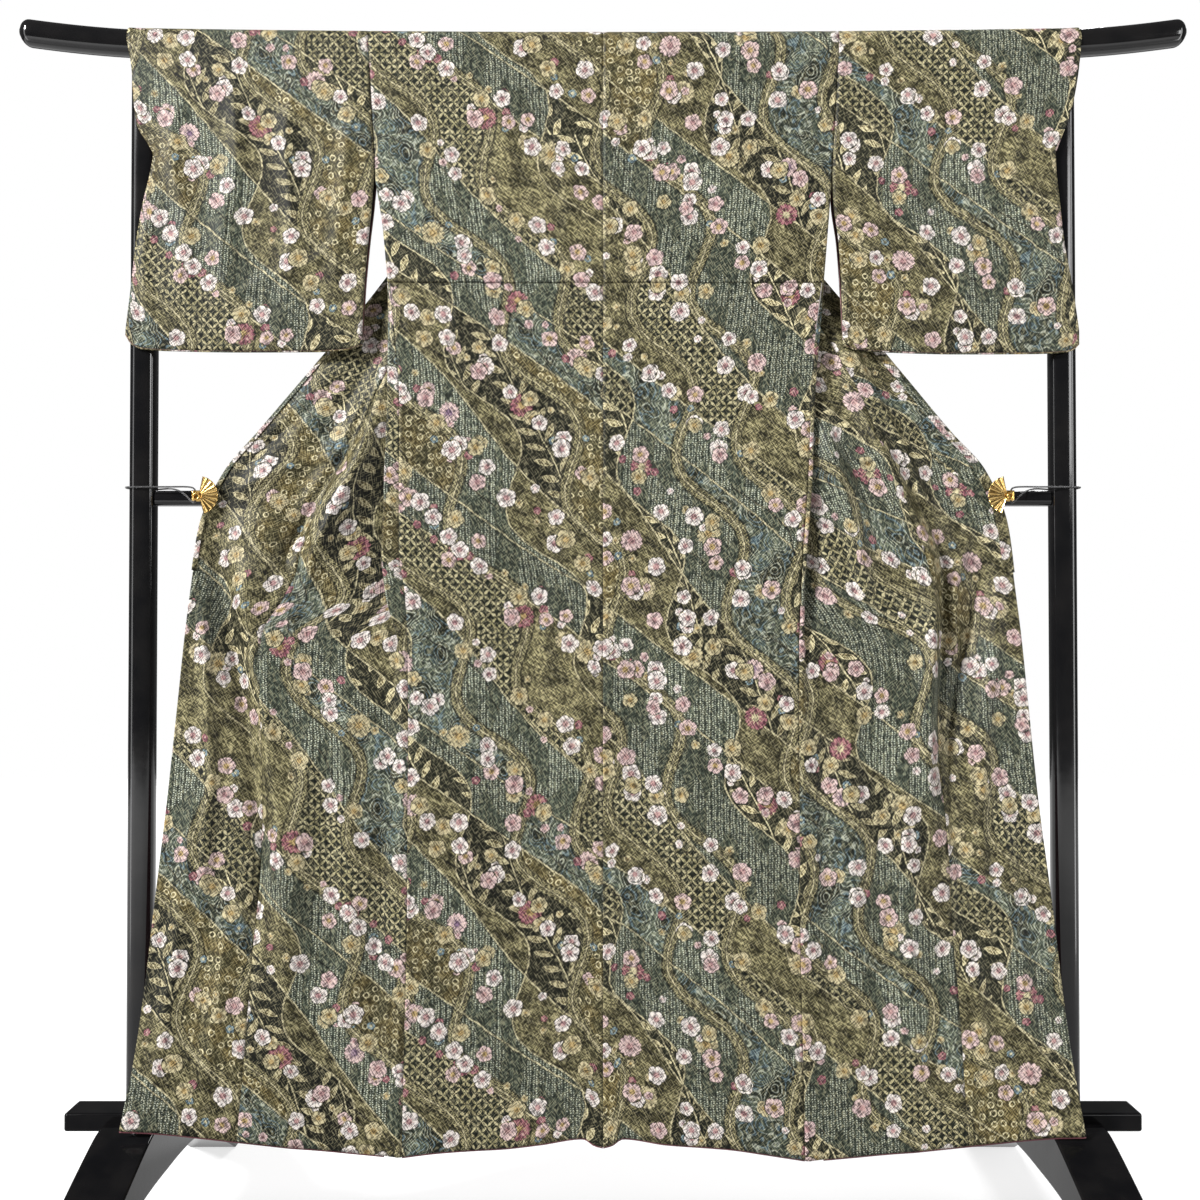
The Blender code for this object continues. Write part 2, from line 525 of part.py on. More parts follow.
def front_section(side, z):
    """One cross-section of the front, from the side seam to the front edge, as closely spaced points."""
    table = front_table(side)
    at = {name: smooth_through(table["z"], column, z) for name, column in table.items()}
    leg = at["leg"]
    folded = float(np.clip((at["fold_x"] - at["turn_x"]) / FOLD_OPENS, 0, 1))
    lead = TURN_LEAD * folded
    route = [
        (back_edge_x(side, z) + SEAM_GAP, at["seam_y"]),
        (at["fold_x"] - FOLD_LEAD, at["fold_y"] - 0.001),
        (at["fold_x"], at["fold_y"] - 0.0005),
        (at["fold_x"], at["fold_y"] + min(leg, FOLD_LEAD) * folded),
        (at["turn_x"] + lead, at["turn_y"]),
        (at["turn_x"], at["turn_y"]),
        (at["turn_x"], at["turn_y"] + leg * folded),
        (at["turn_x"] + lead, at["turn_y"] + leg * folded),
        (at["ridge_x"], at["ridge_y"]),
        (at["dip_x"], at["dip_y"]),
        (at["gore_x"], at["gore_y"]),
        (at["hollow_x"], at["hollow_y"]),
        (at["edge_x"] - 0.15 * (at["edge_x"] - at["hollow_x"]), at["edge_y"]),
        (at["edge_x"], at["edge_y"]),
    ]
    path = rounded_path([(x, y, 0.0) for x, y in route], SPLINE_SAMPLES)
    part = path_lengths(path)
    part = part / part[-1]
    drop = np.interp(part, FRONT_HEM_DROP["part"], FRONT_HEM_DROP["drop"])
    path[:, 2] = z + (at["edge_z"] - z) * part - drop
    path[:, 0] *= side
    return path


def gore_width(side, z):
    return np.interp(z, GORE_WIDTH["z"], GORE_WIDTH["left" if side < 0 else "right"])


def back_section(side, z, columns):
    """One row of the back panel, from the side to the centre seam, hanging slightly hollow."""
    edge_x = back_edge_x(side, z)
    edge_y = smooth_through(BACK_EDGE["z"], BACK_EDGE["y"], z)
    middle_y = smooth_through(BACK_EDGE["z"], BACK_MIDDLE_Y, z)
    part = np.linspace(0, 1, columns)
    x = edge_x + (SEAM_GAP / 2 - edge_x) * part
    y = middle_y + (edge_y - middle_y) * (1 - part) ** 2
    return x, y


def body_back_rows(side):
    """Rows of the back panel from the hem up to the bar."""
    hem = BACK_HEM["left" if side < 0 else "right"]
    table_z = np.array(BACK_EDGE["z"])
    low, high = table_z[-1], table_z[0]
    rows = []
    for part in np.linspace(0, 1, BACK_ROWS):
        level = low + (high - low) * part
        x, y = back_section(side, level, BODY_COLUMNS)
        lift = smooth_through(BACK_HEM["x"], hem, x) - low
        sag = bar_centre(x) - bar_centre(BAR_SAG_REACH)
        z = level + lift * (1 - part) ** 2 + (bar_centre(BAR_SAG_REACH) - high + sag) * part ** 2
        rows.append(np.stack([side * x, y, z], axis=-1))
    return rows


def over_bar(x, angle):
    """Depth and height of cloth lying on the bar, at an angle from the far side over the top."""
    turn = math.radians(angle)
    y = math.copysign(abs(math.cos(turn)) ** (2 / BAR_POWER), math.cos(turn)) * CLOTH_BAR_DEPTH
    z = bar_centre(x) + CLOTH_BAR_HEIGHT * math.sin(turn) ** (2 / BAR_POWER)
    return np.full_like(x, y), z


def wrap_rows(side):
    """Rows over the bar, from its back to its front, where the neck opening begins."""
    armhole = BACK_EDGE["left" if side < 0 else "right"][0]
    rows = []
    for angle in np.linspace(180, 0, WRAP_ROWS + 2)[1:-1]:
        inner = SEAM_GAP / 2 if angle > NECK_ANGLE else NECK_HALF_WIDTH
        x = armhole + (inner - armhole) * np.linspace(0, 1, BODY_COLUMNS)
        y, z = over_bar(x, angle)
        rows.append(np.stack([side * x, y, z], axis=-1))
    return rows


def front_levels(count, top, bottom):
    """Heights closer together around the folds than near the hem."""
    part = np.linspace(0, 1, count)
    return top + (bottom - top) * (0.72 * part + 0.28 * part ** 2)


def front_sections(side):
    """All cross-sections of the front with their heights and the distance of the gore's seam along each."""
    table = front_table(side)
    sections = []
    for z in front_levels(FRONT_ROWS, table["z"][0], table["z"][-1]):
        path = front_section(side, z)
        width = gore_width(side, z)
        seam = path_lengths(path)[-1] * FRONT_WIDTH / (FRONT_WIDTH + width)
        sections.append((z, path, seam))
    return sections


def body_front_rows(side):
    """Rows of the front panel from below the bar to the hem, up to the gore's seam or the front edge."""
    rows = []
    for _, path, seam in front_sections(side):
        rows.append(points_between(path, 0, seam - SEAM_GAP / 2, BODY_COLUMNS))
    return rows


def gore_rows(side):
    """Rows of the gore from its point to the hem, at the heights of the front panel's rows."""
    rows = []
    for z, path, seam in front_sections(side):
        if gore_width(side, z) > GORE_LEAST_WIDTH:
            rows.append(points_between(path, seam + SEAM_GAP / 2, path_lengths(path)[-1], GORE_COLUMNS))
    return rows


def build_body(name, side, materials):
    """One length of cloth from the back hem, over the bar, to the front hem."""
    rows = body_back_rows(side) + wrap_rows(side) + body_front_rows(side)
    cloth(name, np.array(rows), materials, flip=side > 0)


def build_gore(name, side, materials):
    """The gore between the front panel and the front edge, tapering to a point under the collar."""
    cloth(name, np.array(gore_rows(side)), materials, flip=side > 0)


def build_sleeve(name, side, materials):
    """One length folded over the bar: up the viewer's layer, over, and down the far layer."""
    outline = SLEEVE_LEFT if side < 0 else SLEEVE_RIGHT
    bottom = SLEEVE_BOTTOM["left" if side < 0 else "right"]
    part = np.linspace(0, 1, SLEEVE_COLUMNS)
    part = part + 0.035 * np.sin(2 * np.pi * part)
    top = outline["z"][0]
    near_rows, far_rows = [], []
    for step in SLEEVE_STEPS:
        floor_z = smooth_through(SLEEVE_BOTTOM["part"], bottom, part)
        z = floor_z + (top - floor_z) * step
        inner = smooth_through(outline["z"], outline["inner"], z)
        cuff = smooth_through(outline["z"], outline["cuff"], z)
        far_cuff = smooth_through(outline["z"], outline["far"], z)
        near_y = smooth_through(NEAR_LAYER_Y["z"], NEAR_LAYER_Y["y"], z)
        far_y = smooth_through(FAR_LAYER_Y["z"], FAR_LAYER_Y["y"], z)
        post_y = smooth_through(POST_SIDE_Y["z"], POST_SIDE_Y["y"], z)
        to_post = np.clip((part - SLEEVE_POST_START) / (0.93 - SLEEVE_POST_START), 0, 1)
        to_post = to_post * to_post * (3 - 2 * to_post)
        far_y = far_y + (post_y - far_y) * to_post
        near_x = inner + (cuff - inner) * part
        far_x = inner + (far_cuff - inner) * part
        lift = (bar_centre(near_x) - top) * step ** 2
        near_rows.append(np.stack([side * near_x, near_y, z + lift], axis=-1))
        far_rows.append(np.stack([side * far_x, far_y, z + lift], axis=-1))
    over = []
    for angle in np.linspace(180, 0, WRAP_ROWS)[1:-1]:
        share = 1 - angle / 180
        x = near_rows[-1][:, 0] * (1 - share) + far_rows[-1][:, 0] * share
        y, z = over_bar(x, angle)
        over.append(np.stack([x, y, z], axis=-1))
    cloth(name, np.array(near_rows + over + far_rows[::-1]), materials, flip=side < 0)


def moved_out(points, tangents, distance, side):
    """Points moved level, square to their row: away from the viewer where the distance is positive."""
    normal = np.stack([-tangents[:, 1], tangents[:, 0], np.zeros(len(tangents))], axis=-1)
    normal /= np.linalg.norm(normal, axis=1)[:, None]
    return points + normal * distance * side


def lying_rows(side):
    """The outward run of each row of the fronts, with x rising, for what lies on them."""
    runs = []
    gore = gore_rows(side)
    front = body_front_rows(side)
    bare = len(front) - len(gore)
    for number, row in enumerate(front):
        if number >= bare:
            row = np.concatenate([row, gore[number - bare]])
        outward = row * [side, 1, 1]
        start = int(np.argmin(outward[:, 0])) if outward[:, 0].argmin() > 2 else 2
        rising = np.maximum.accumulate(outward[start:, 0])
        runs.append(np.stack([rising, outward[start:, 1], outward[start:, 2]], axis=-1))
    return runs


def depth_at(runs, x, z):
    """How far back the fronts' outward run lies at one place."""
    heights = np.array([np.interp(x, run[:, 0], run[:, 2]) for run in runs])
    depths = np.array([np.interp(x, run[:, 0], run[:, 1]) for run in runs])
    order = np.argsort(heights)
    return np.interp(z, heights[order], depths[order])


def build_collar(name, side, materials):
    """Half the collar: a band from the middle of the neck over the far side of the front edge."""
    runs = lying_rows(side)
    rows = []
    across = np.linspace(0, 1, COLLAR_COLUMNS)
    for x, z, y in COLLAR_NECK:
        level = np.full_like(across, side * max(x, SEAM_GAP / 2))
        rows.append(np.stack([level, np.full_like(across, y), z - COLLAR_WIDTH_NECK * across], axis=-1))
    for _, path, _ in front_sections(side):
        edge_x, edge_y, edge_z = path[-1] * [side, 1, 1]
        if edge_z < COLLAR_END_Z:
            break
        down = math.radians(float(smooth_through(COLLAR_SLANT["z"], COLLAR_SLANT["angle"], edge_z)))
        width = float(np.interp(edge_z, [COLLAR_END_Z, 1.70], [COLLAR_WIDTH_END, COLLAR_WIDTH_NECK]))
        x = edge_x - width * across * math.cos(down)
        z = edge_z - width * across * math.sin(down)
        y = np.array([depth_at(runs, px, pz) for px, pz in zip(x, z)])
        y = np.maximum(y, edge_y) + COLLAR_STEP
        rows.append(np.stack([side * x, y, z], axis=-1))
    cloth(name, np.array(rows), materials, material="collar_silk", flip=side > 0)


def build_collar_fold(name, side, materials):
    """The narrow fold of the collar over the front edge, on the viewer's side."""
    strip = COLLAR_FOLD_LEFT if side < 0 else COLLAR_FOLD_RIGHT
    rows = []
    for z, path, _ in front_sections(side):
        edge_z = path[-1, 2]
        if z > SLIT_END_Z or edge_z < COLLAR_END_Z:
            continue
        whole = path_lengths(path)[-1]
        near = points_between(path, whole - strip, whole - 0.0003, 4)
        tangents = np.gradient(near, axis=0)
        end = near[-1]
        ahead = tangents[-1] / np.linalg.norm(tangents[-1])
        level = np.array([-ahead[1], ahead[0], 0.0]) * side
        level /= np.linalg.norm(level)
        front = moved_out(near, tangents, -LAYER_STEP, side)
        turned = []
        for angle in (-50, 0, 50):
            turn = math.radians(angle)
            turned.append(end + (ahead * math.cos(turn) + level * math.sin(turn)) * LAYER_STEP)
        rows.append(np.concatenate([front, np.array(turned)]))
    cloth(name, np.array(rows), materials, material="collar_silk", wall=COLLAR_FOLD_WALL, flip=side > 0)


def build_facing(name, hem, above, side, materials):
    """A strip of hem facing on the far side of a panel, a little longer than the panel."""
    rise = np.maximum(above[:, 2] - hem[:, 2], 0.01)[:, None]
    rows = []
    for height in (FACING_HEIGHT, FACING_HEIGHT / 2, -FACING_DROP):
        row = hem + (above - hem) * (height / rise)
        rows.append(moved_out(row, np.gradient(row, axis=0), FACING_STEP, side))
    cloth(name, np.array(rows), materials, material="rose_silk", flip=side > 0)


def build_fan(name, side, materials):
    """A pleated fan of sheet metal, opening from the clip's hub towards the cloth."""
    angles = np.radians(np.linspace(FAN_BOTTOM_ANGLE, FAN_TOP_ANGLE, 2 * FAN_PLEATS + 1))
    radii = np.linspace(FAN_HUB_RADIUS, FAN_RADIUS, 3)[:, None]
    pleat = np.where(np.arange(len(angles)) % 2, 1.0, -1.0) * FAN_PLEAT_DEPTH
    grid = np.empty((3, len(angles), 3))
    grid[:, :, 0] = side * (CLIP_HUB_X - radii * np.cos(angles))
    grid[:, :, 1] = FAN_Y + pleat * radii / FAN_RADIUS
    grid[:, :, 2] = CLIP_HUB_Z + radii * np.sin(angles)
    cloth(name, grid, materials, material="gold", wall=FAN_WALL, flip=side > 0)


def build_jaw(name, side, materials):
    """The spring clip behind the fan: a plate bent round the cloth's edge."""
    path = rounded_path([(x, y, 0.0) for x, y in JAW_ROUTE], 16)
    path[:, 0] *= side
    rows = []
    for height in (-JAW_HALF_HEIGHT, JAW_HALF_HEIGHT):
        rows.append(path + [0, 0, CLIP_HUB_Z + height])
    cloth(name, np.array(rows), materials, material="gold", wall=JAW_WALL, flip=side > 0)


def build_elastic(name, side, materials):
    """An elastic cord threaded through the clip and looped round the post, just above the rail."""
    points = np.array(ELASTIC_ROUTE + ELASTIC_ROUTE[:3], float)
    count = len(ELASTIC_ROUTE)
    t = np.linspace(0, count, count * 2, endpoint=False)
    i = t.astype(int)
    t = (t - i)[:, None]
    weights = ((1 - t) ** 3, 3 * t ** 3 - 6 * t ** 2 + 4, -3 * t ** 3 + 3 * t ** 2 + 3 * t + 1, t ** 3)
    smooth = sum(w * points[i + k] for k, w in enumerate(weights)) / 6
    curve = bpy.data.curves.new(name, "CURVE")
    curve.dimensions = "3D"
    curve.bevel_depth = CORD_RADIUS
    curve.bevel_resolution = 1
    spline = curve.splines.new("POLY")
    spline.points.add(len(smooth) - 1)
    for point, (x, y, z) in zip(spline.points, smooth):
        point.co = (side * x, y, z, 1.0)
    spline.use_cyclic_u = True
    obj = bpy.data.objects.new(name, curve)
    curve.materials.append(materials["elastic"])
    bpy.context.scene.collection.objects.link(obj)


def main():
    clear_scene()
    materials = {name: make_material(name) for name in MATERIALS}
    build_bar(materials)
    build_rail(materials)
    build_plank(materials)
    for word, side in (("left", -1), ("right", 1)):
        build_post("post_" + word, side, materials)
        build_foot("foot_" + word, side, materials)
        build_body("body_" + word, side, materials)
        build_gore("gore_" + word, side, materials)
        build_sleeve("sleeve_" + word, side, materials)
        build_collar("collar_" + word, side, materials)
        build_collar_fold("collar_fold_" + word, side, materials)
        hem, above = [row[::-1] for row in body_back_rows(side)[:2]]
        build_facing("back_facing_" + word, hem, above, side, materials)
        hem, above = [evenly_along(run * [side, 1, 1], FACING_COLUMNS) for run in lying_rows(side)[-1:-3:-1]]
        build_facing("front_facing_" + word, hem, above, side, materials)
        build_fan("clip_fan_" + word, side, materials)
        build_jaw("clip_jaw_" + word, side, materials)
        build_elastic("elastic_" + word, side, materials)


main()
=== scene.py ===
"""The finish of a lined kimono hung by its sleeves on a lacquered stand, seen from behind.

Metres where nothing else is said, +Z up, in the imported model's own frame: +X runs along the top bar
and the kimono's back faces -Y. In the tables, x is measured outward from the middle, so that one table
can serve a left piece (side -1) or a right piece (side +1).
"""

import math
import types

import bpy
import numpy as np
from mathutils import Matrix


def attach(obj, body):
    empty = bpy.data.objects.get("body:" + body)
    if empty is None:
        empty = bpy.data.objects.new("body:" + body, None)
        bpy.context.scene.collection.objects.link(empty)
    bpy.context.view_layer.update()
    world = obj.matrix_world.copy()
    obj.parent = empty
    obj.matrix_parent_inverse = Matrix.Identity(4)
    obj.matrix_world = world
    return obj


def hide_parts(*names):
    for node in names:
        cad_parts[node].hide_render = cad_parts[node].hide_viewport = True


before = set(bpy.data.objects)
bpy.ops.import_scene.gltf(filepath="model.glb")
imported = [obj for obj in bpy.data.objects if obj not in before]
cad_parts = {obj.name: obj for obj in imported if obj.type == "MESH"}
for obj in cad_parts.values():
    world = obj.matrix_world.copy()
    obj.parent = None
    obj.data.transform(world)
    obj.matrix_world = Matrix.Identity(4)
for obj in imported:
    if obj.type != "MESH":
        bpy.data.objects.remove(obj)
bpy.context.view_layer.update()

MM = 0.001
WHITE = (1.0, 1.0, 1.0)

# The photograph's camera: the width of the picture and the lens in pixels, then place and tilt.
PICTURE_WIDTH = 1200
LENS_PIXELS = 1385
SENSOR_WIDTH = 36.0
CAMERA_PLACE = (-0.0043, -2.0, 0.8906)
CAMERA_TILT = math.radians(91)

# Cloth: its thickness, half the gap at a seam, how deep and in what shares of it a seam turns in, and
# the width between the centre seam and the print's own edge.
WALL = 0.0014
SEAM_HALF = 0.0004
SEAM_TURN = 0.0028
SEAM_TURN_STEPS = np.array([0.25, 0.6, 1.0])[None, :, None] * SEAM_TURN
CLOTH_WIDTH = 0.34

# The stand.
BAR_HALF_LENGTH = 0.847
BAR_HALF_HEIGHT = 0.0195
BAR_HALF_DEPTH = 0.0165
BAR_CENTRE_Z = 1.7283
BAR_SAG = 0.0058
BAR_SAG_REACH = 0.69
BAR_TIP_START = 0.66
BAR_TIP_RISE = 0.0145
BAR_ROUND_END = 0.016
BAR_TIP_LEAST = 0.30
BAR_TIP_POWER = 1.6
BAR_POWER = 2.3
POST_X = 0.664
POST_HALF_WIDTH = 0.019
POST_HALF_DEPTH = 0.0165
POST_POWER = 2.8
RAIL_Z = 1.0722
RAIL_HALF_HEIGHT = 0.0112
RAIL_HALF_DEPTH = 0.0115
RAIL_POWER = 3.0
PLANK_HALF_LENGTH = 0.7635
PLANK_HALF_DEPTH = 0.028
PLANK_BOTTOM_Z = 0.1720
PLANK_HEIGHT = 0.0262
PLANK_EDGE = 0.004
FOOT_HALF_WIDTH = 0.040
FOOT_EDGE = 0.0028
JOINT_GAP = 0.0002
SHARP_ANGLE = math.radians(35)
BEVEL_ANGLE = math.radians(50)

# Half of a foot's outline, as corners that are then rounded: from the base plank over the top and
# down to the toe, and below from under the plank to the sole. y, z.
FOOT_TOP = [(0.0283, 0.1860), (0.055, 0.1862), (0.090, 0.1765), (0.190, 0.1390), (0.330, 0.0800),
            (0.400, 0.0500), (0.420, 0.0300), (0.420, 0.0000)]
FOOT_UNDER = [(0.000, 0.1080), (0.140, 0.1100), (0.240, 0.0680), (0.340, 0.0200), (0.375, 0.0000)]

# The clips and their cords, and a direction that no path of a ring or cord follows.
CLIP_HUB_Z = 1.0735
CLIP_HUB_X = 0.5735
FAN_RADIUS = 0.0275
FAN_HUB_RADIUS = 0.005
FAN_TOP_ANGLE = 78.0
FAN_BOTTOM_ANGLE = -74.0
FAN_PLEATS = 9
FAN_PLEAT_DEPTH = 0.0009
FAN_SCALLOP = 0.018
FAN_WALL = 0.0009
HUB_RING_RADIUS = 0.0042
HUB_RING_WIRE = 0.0010
HUB_RING_OUT = 0.0035
HUB_RING_DROP = 0.0015
HUB_RING_STAND = 0.0008
FAN_Y = -0.0385
JAW_WALL = 0.0010
JAW_HALF_HEIGHT = 0.007
CORD_RADIUS = 0.0012
ASKEW = (0.13, 0.21, 0.97)

# The kimono: where the underarm slit ends, the bar with the cloth's middle layer on it, the neck
# opening and where it begins over the bar, the front panel, the hem facing's rows and how many of the
# cloth's rows up from the hem it slants towards, and the collar.
SLIT_END_Z = 1.385
CLOTH_BAR_DEPTH = BAR_HALF_DEPTH + 0.0016
CLOTH_BAR_HEIGHT = BAR_HALF_HEIGHT + 0.0016
NECK_HALF_WIDTH = 0.088
NECK_ANGLE = 50
NECK_EASE = 4
FRONT_WIDTH = 0.240
FACING_LEVELS = np.concatenate([np.linspace(0.045, 0.004, 8), np.linspace(0.0025, -0.0025, 5)])
FACING_TOWARDS = 8
COLLAR_WIDTH_NECK = 0.055
COLLAR_WIDTH_END = 0.068

# Outer edge of the back panel from the shoulder to the hem: height, left x, right x, and the depth of
# the edge and of the centre seam.
BACK_EDGE = dict(
    z=[1.735, 1.640, 1.546, 1.460, 1.385, 1.300, 1.200, 1.095, 1.000, 0.930, 0.850, 0.700, 0.500, 0.300,
       0.140],
    left=[0.3383, 0.3335, 0.3275, 0.3150, 0.3075, 0.2960, 0.2890, 0.2885, 0.2880, 0.2790,
          0.2750, 0.2742, 0.2752, 0.2780, 0.2812],
    right=[0.3405, 0.3350, 0.3290, 0.3220, 0.3150, 0.3040, 0.2950, 0.2900, 0.2830, 0.2790,
           0.2760, 0.2758, 0.2765, 0.2790, 0.2818],
    y=[-0.0182, -0.0200, -0.0215, -0.0240, -0.0280, -0.0350, -0.0400, -0.0430, -0.0450, -0.0460,
       -0.0465, -0.0470, -0.0480, -0.0500, -0.0520],
    middle_y=[-0.0182, -0.0200, -0.0210, -0.0225, -0.0245, -0.0270, -0.0300, -0.0330, -0.0340, -0.0345,
              -0.0350, -0.0360, -0.0380, -0.0410, -0.0440],
)

# Hem of the back panel: x from the centre seam outward, height on the left, height on the right.
BACK_HEM = dict(
    x=[0.000, 0.012, 0.028, 0.090, 0.145, 0.180, 0.230, 0.284],
    left=[0.1570, 0.1600, 0.1697, 0.1614, 0.1559, 0.1545, 0.1517, 0.1462],
    right=[0.1570, 0.1600, 0.1697, 0.1614, 0.1580, 0.1555, 0.1490, 0.1418],
)

# Cross-sections of the front, from the shoulder to the hem. Each runs from the side seam to a fold
# edge beside the back panel and inward behind the back to a turn, where two layers lie a leg apart.
# It then runs outward over a ridge, a dip, the ridge at the gore's seam and a hollow to the front
# edge. z is the height at the side seam and edge_z the height at the front edge. Millimetres.
SECTION_COLUMNS = (
    "z seam_y fold_x fold_y turn_x turn_y leg edge_z ridge_x ridge_y dip_x dip_y gore_x gore_y "
    "hollow_x hollow_y edge_x edge_y"
).split()
SECTIONS = dict(
    left=[
        (1700, 18.5, 336, 18.5, 106, 19, 6, 1706, 108, 25, 110, 25, 112, 25, 114, 25, 115, 25.5),
        (1640, 18.5, 333, 18.5, 122, 17, 6, 1648, 130, 23, 136, 23, 142, 23, 148, 23.5, 152, 24),
        (1546, 16.5, 327, 16.5, 140, 12, 7, 1560, 152, 18, 166, 18, 180, 18.5, 194, 19, 207, 19.5),
        (1460, 6, 315, 5.5, 148, 4, 8, 1484, 170, 11, 192, 11.5, 214, 12.5, 236, 13.5, 256, 14),
        (1385, -25, 309, -21, 156, -6, 8, 1413, 190, 3, 215, 3.5, 240, 5, 275, 7, 300.5, 8.5),
        (1300, -35, 306, -33, 178, -14, 9, 1341, 240, -6, 280, -2, 305, -1, 332, 1, 353.5, 3),
        (1200, -40, 306.5, -39, 201, -20, 10, 1254.5, 322, -24, 345, -4, 372, -12, 400, -10, 422.5, -7),
        (1095, -43, 309.5, -44, 226, -24, 10, 1164, 360, -44, 393, -16, 430, -26, 465, -24, 494.5, -20),
        (1045, -44, 310.5, -46, 245, -25, 10, 1110, 385, -50, 420, -22, 456, -32, 505, -29, 538, -26),
        (985, -45, 312, -48, 262, -28, 9, 1030, 405, -52, 442, -30, 480, -46, 545, -26, 572.5, -33),
        (930, -46, 306, -48, 274, -33, 8, 952, 400, -50, 440, -38, 500, -55, 540, -24, 583, -38),
        (850, -46.5, 286, -48, 292, -43, 4, 875, 380, -47, 430, -44, 488, -56, 526, -26, 591.8, -40),
        (760, -47, 283, -48, 296, -45, 2, 785, 370, -45, 420, -47, 468, -52, 500, -34, 600.5, -41),
        (640, -47, 284, -48, 300, -45.5, 2, 660, 370, -44, 420, -48, 467, -50, 505, -42, 613, -42),
        (440, -49, 286, -50, 302, -48, 2, 460, 370, -46, 425, -50, 480, -52, 530, -46, 635, -45),
        (280, -50, 288, -52, 304, -50, 2, 306, 375, -49, 435, -55, 498, -60, 560, -60, 649, -63),
        (146, -52, 290, -54, 306, -53, 2, 193, 380, -53, 450, -61, 510, -68, 590, -76, 666, -82),
    ],
    right=[
        (1700, 18.5, 338, 18.5, 106, 19, 6, 1706, 108, 25, 110, 25, 112, 25, 114, 25, 115, 25.5),
        (1640, 18.5, 334.5, 18.5, 122, 17, 6, 1648, 130, 23, 136, 23, 142, 23, 148, 23.5, 153, 24),
        (1546, 16.5, 328.5, 16.5, 140, 12, 7, 1560, 153, 18, 167, 18, 181, 18.5, 195, 19, 209, 19.5),
        (1460, 6, 322, 5.5, 150, 4, 8, 1484, 172, 11, 194, 11.5, 216, 12.5, 240, 13.5, 260, 14),
        (1385, -25, 316.5, -21, 160, -6, 8, 1413, 192, 3, 218, 3.5, 244, 5, 278, 7, 304, 8.5),
        (1300, -35, 308.5, -33, 185, -14, 9, 1341, 245, -6, 292, -4, 325, -10, 345, 1, 361, 3),
        (1200, -40, 300, -39, 210, -20, 10, 1254.5, 300, -24, 330, -16, 374, -34, 384, -8, 428, -7),
        (1095, -43, 296, -44, 232, -24, 10, 1164, 325, -44, 365, -30, 420, -48, 432, -20, 498, -20),
        (1045, -44, 292, -46, 245, -25, 10, 1110, 345, -48, 385, -34, 443, -54, 456, -24, 544, -26),
        (985, -45, 287, -48, 258, -28, 9, 1030, 360, -49, 405, -38, 466, -58, 486, -28, 574, -33),
        (930, -46, 284, -48, 268, -33, 8, 952, 360, -48, 410, -42, 469, -58, 515, -24, 582.5, -38),
        (850, -46.5, 283, -48, 284, -42, 4, 875, 360, -46, 410, -44, 467, -57, 508, -26, 591.5, -40),
        (760, -47, 284, -48, 296, -45, 2, 785, 365, -45, 410, -46, 465, -54, 495, -36, 600, -41),
        (640, -47, 285, -48, 300, -45.5, 2, 660, 370, -44, 420, -47, 467, -51, 505, -42, 612, -42),
        (440, -49, 287, -50, 302, -48, 2, 460, 375, -46, 430, -50, 485, -53, 535, -46, 636, -45),
        (280, -50, 289, -52, 304, -50, 2, 302, 380, -49, 440, -55, 505, -60, 565, -60, 650, -63),
        (141, -52, 291, -54, 308, -53, 2, 186, 385, -53, 455, -61, 515, -68, 595, -76, 664, -84),
    ],
)

# Front hem below the straight line between its ends: fraction of the width, drop.
FRONT_HEM_DROP = dict(
    part=[0.0, 0.20, 0.40, 0.60, 0.80, 0.90, 1.0],
    drop=[0.0, 0.0020, 0.0025, 0.0, -0.0022, -0.0022, 0.0],
)

# Width of the gore, by height at the side seam.
GORE_WIDTH = dict(
    z=[0.140, 0.700, 1.000, 1.150, 1.300, 1.420, 1.500],
    left=[0.166, 0.156, 0.150, 0.120, 0.075, 0.035, 0.000],
    right=[0.166, 0.156, 0.140, 0.090, 0.054, 0.027, 0.000],
)
GORE_LEAST_WIDTH = 0.010

# Sleeve outline: height, x of the armhole or inner edge, x of the cuff edge on the viewer's layer
# and on the far layer. Then the height of its bottom, by the share of the way to the cuff.
SLEEVE = dict(
    z=[1.735, 1.690, 1.650, 1.610, 1.578, 1.566, 1.540, 1.500, 1.440, 1.370, 1.310],
    left=dict(
        inner=[0.3391, 0.3368, 0.3348, 0.3325, 0.3304, 0.3297, 0.3292, 0.3315, 0.3372, 0.3425, 0.3450],
        cuff=[0.6868, 0.6785, 0.6755, 0.6700, 0.6520, 0.6462, 0.6500, 0.6590, 0.6690, 0.6765, 0.6835],
        far=[0.6840, 0.6740, 0.6430, 0.6410, 0.6410, 0.6440, 0.6500, 0.6590, 0.6690, 0.6765, 0.6835],
    ),
    right=dict(
        inner=[0.3413, 0.3385, 0.3362, 0.3338, 0.3318, 0.3311, 0.3300, 0.3310, 0.3380, 0.3420, 0.3435],
        cuff=[0.6900, 0.6850, 0.6780, 0.6665, 0.6540, 0.6500, 0.6510, 0.6550, 0.6610, 0.6730, 0.6815],
        far=[0.6850, 0.6750, 0.6430, 0.6410, 0.6410, 0.6450, 0.6510, 0.6550, 0.6610, 0.6730, 0.6815],
    ),
)
SLEEVE_BOTTOM = dict(
    part=[0.00, 0.06, 0.20, 0.50, 0.80, 0.93, 0.975, 1.00],
    left=[1.2915, 1.2852, 1.2822, 1.2818, 1.2835, 1.2865, 1.2930, 1.3060],
    right=[1.2905, 1.2850, 1.2815, 1.2790, 1.2795, 1.2815, 1.2850, 1.2930],
)

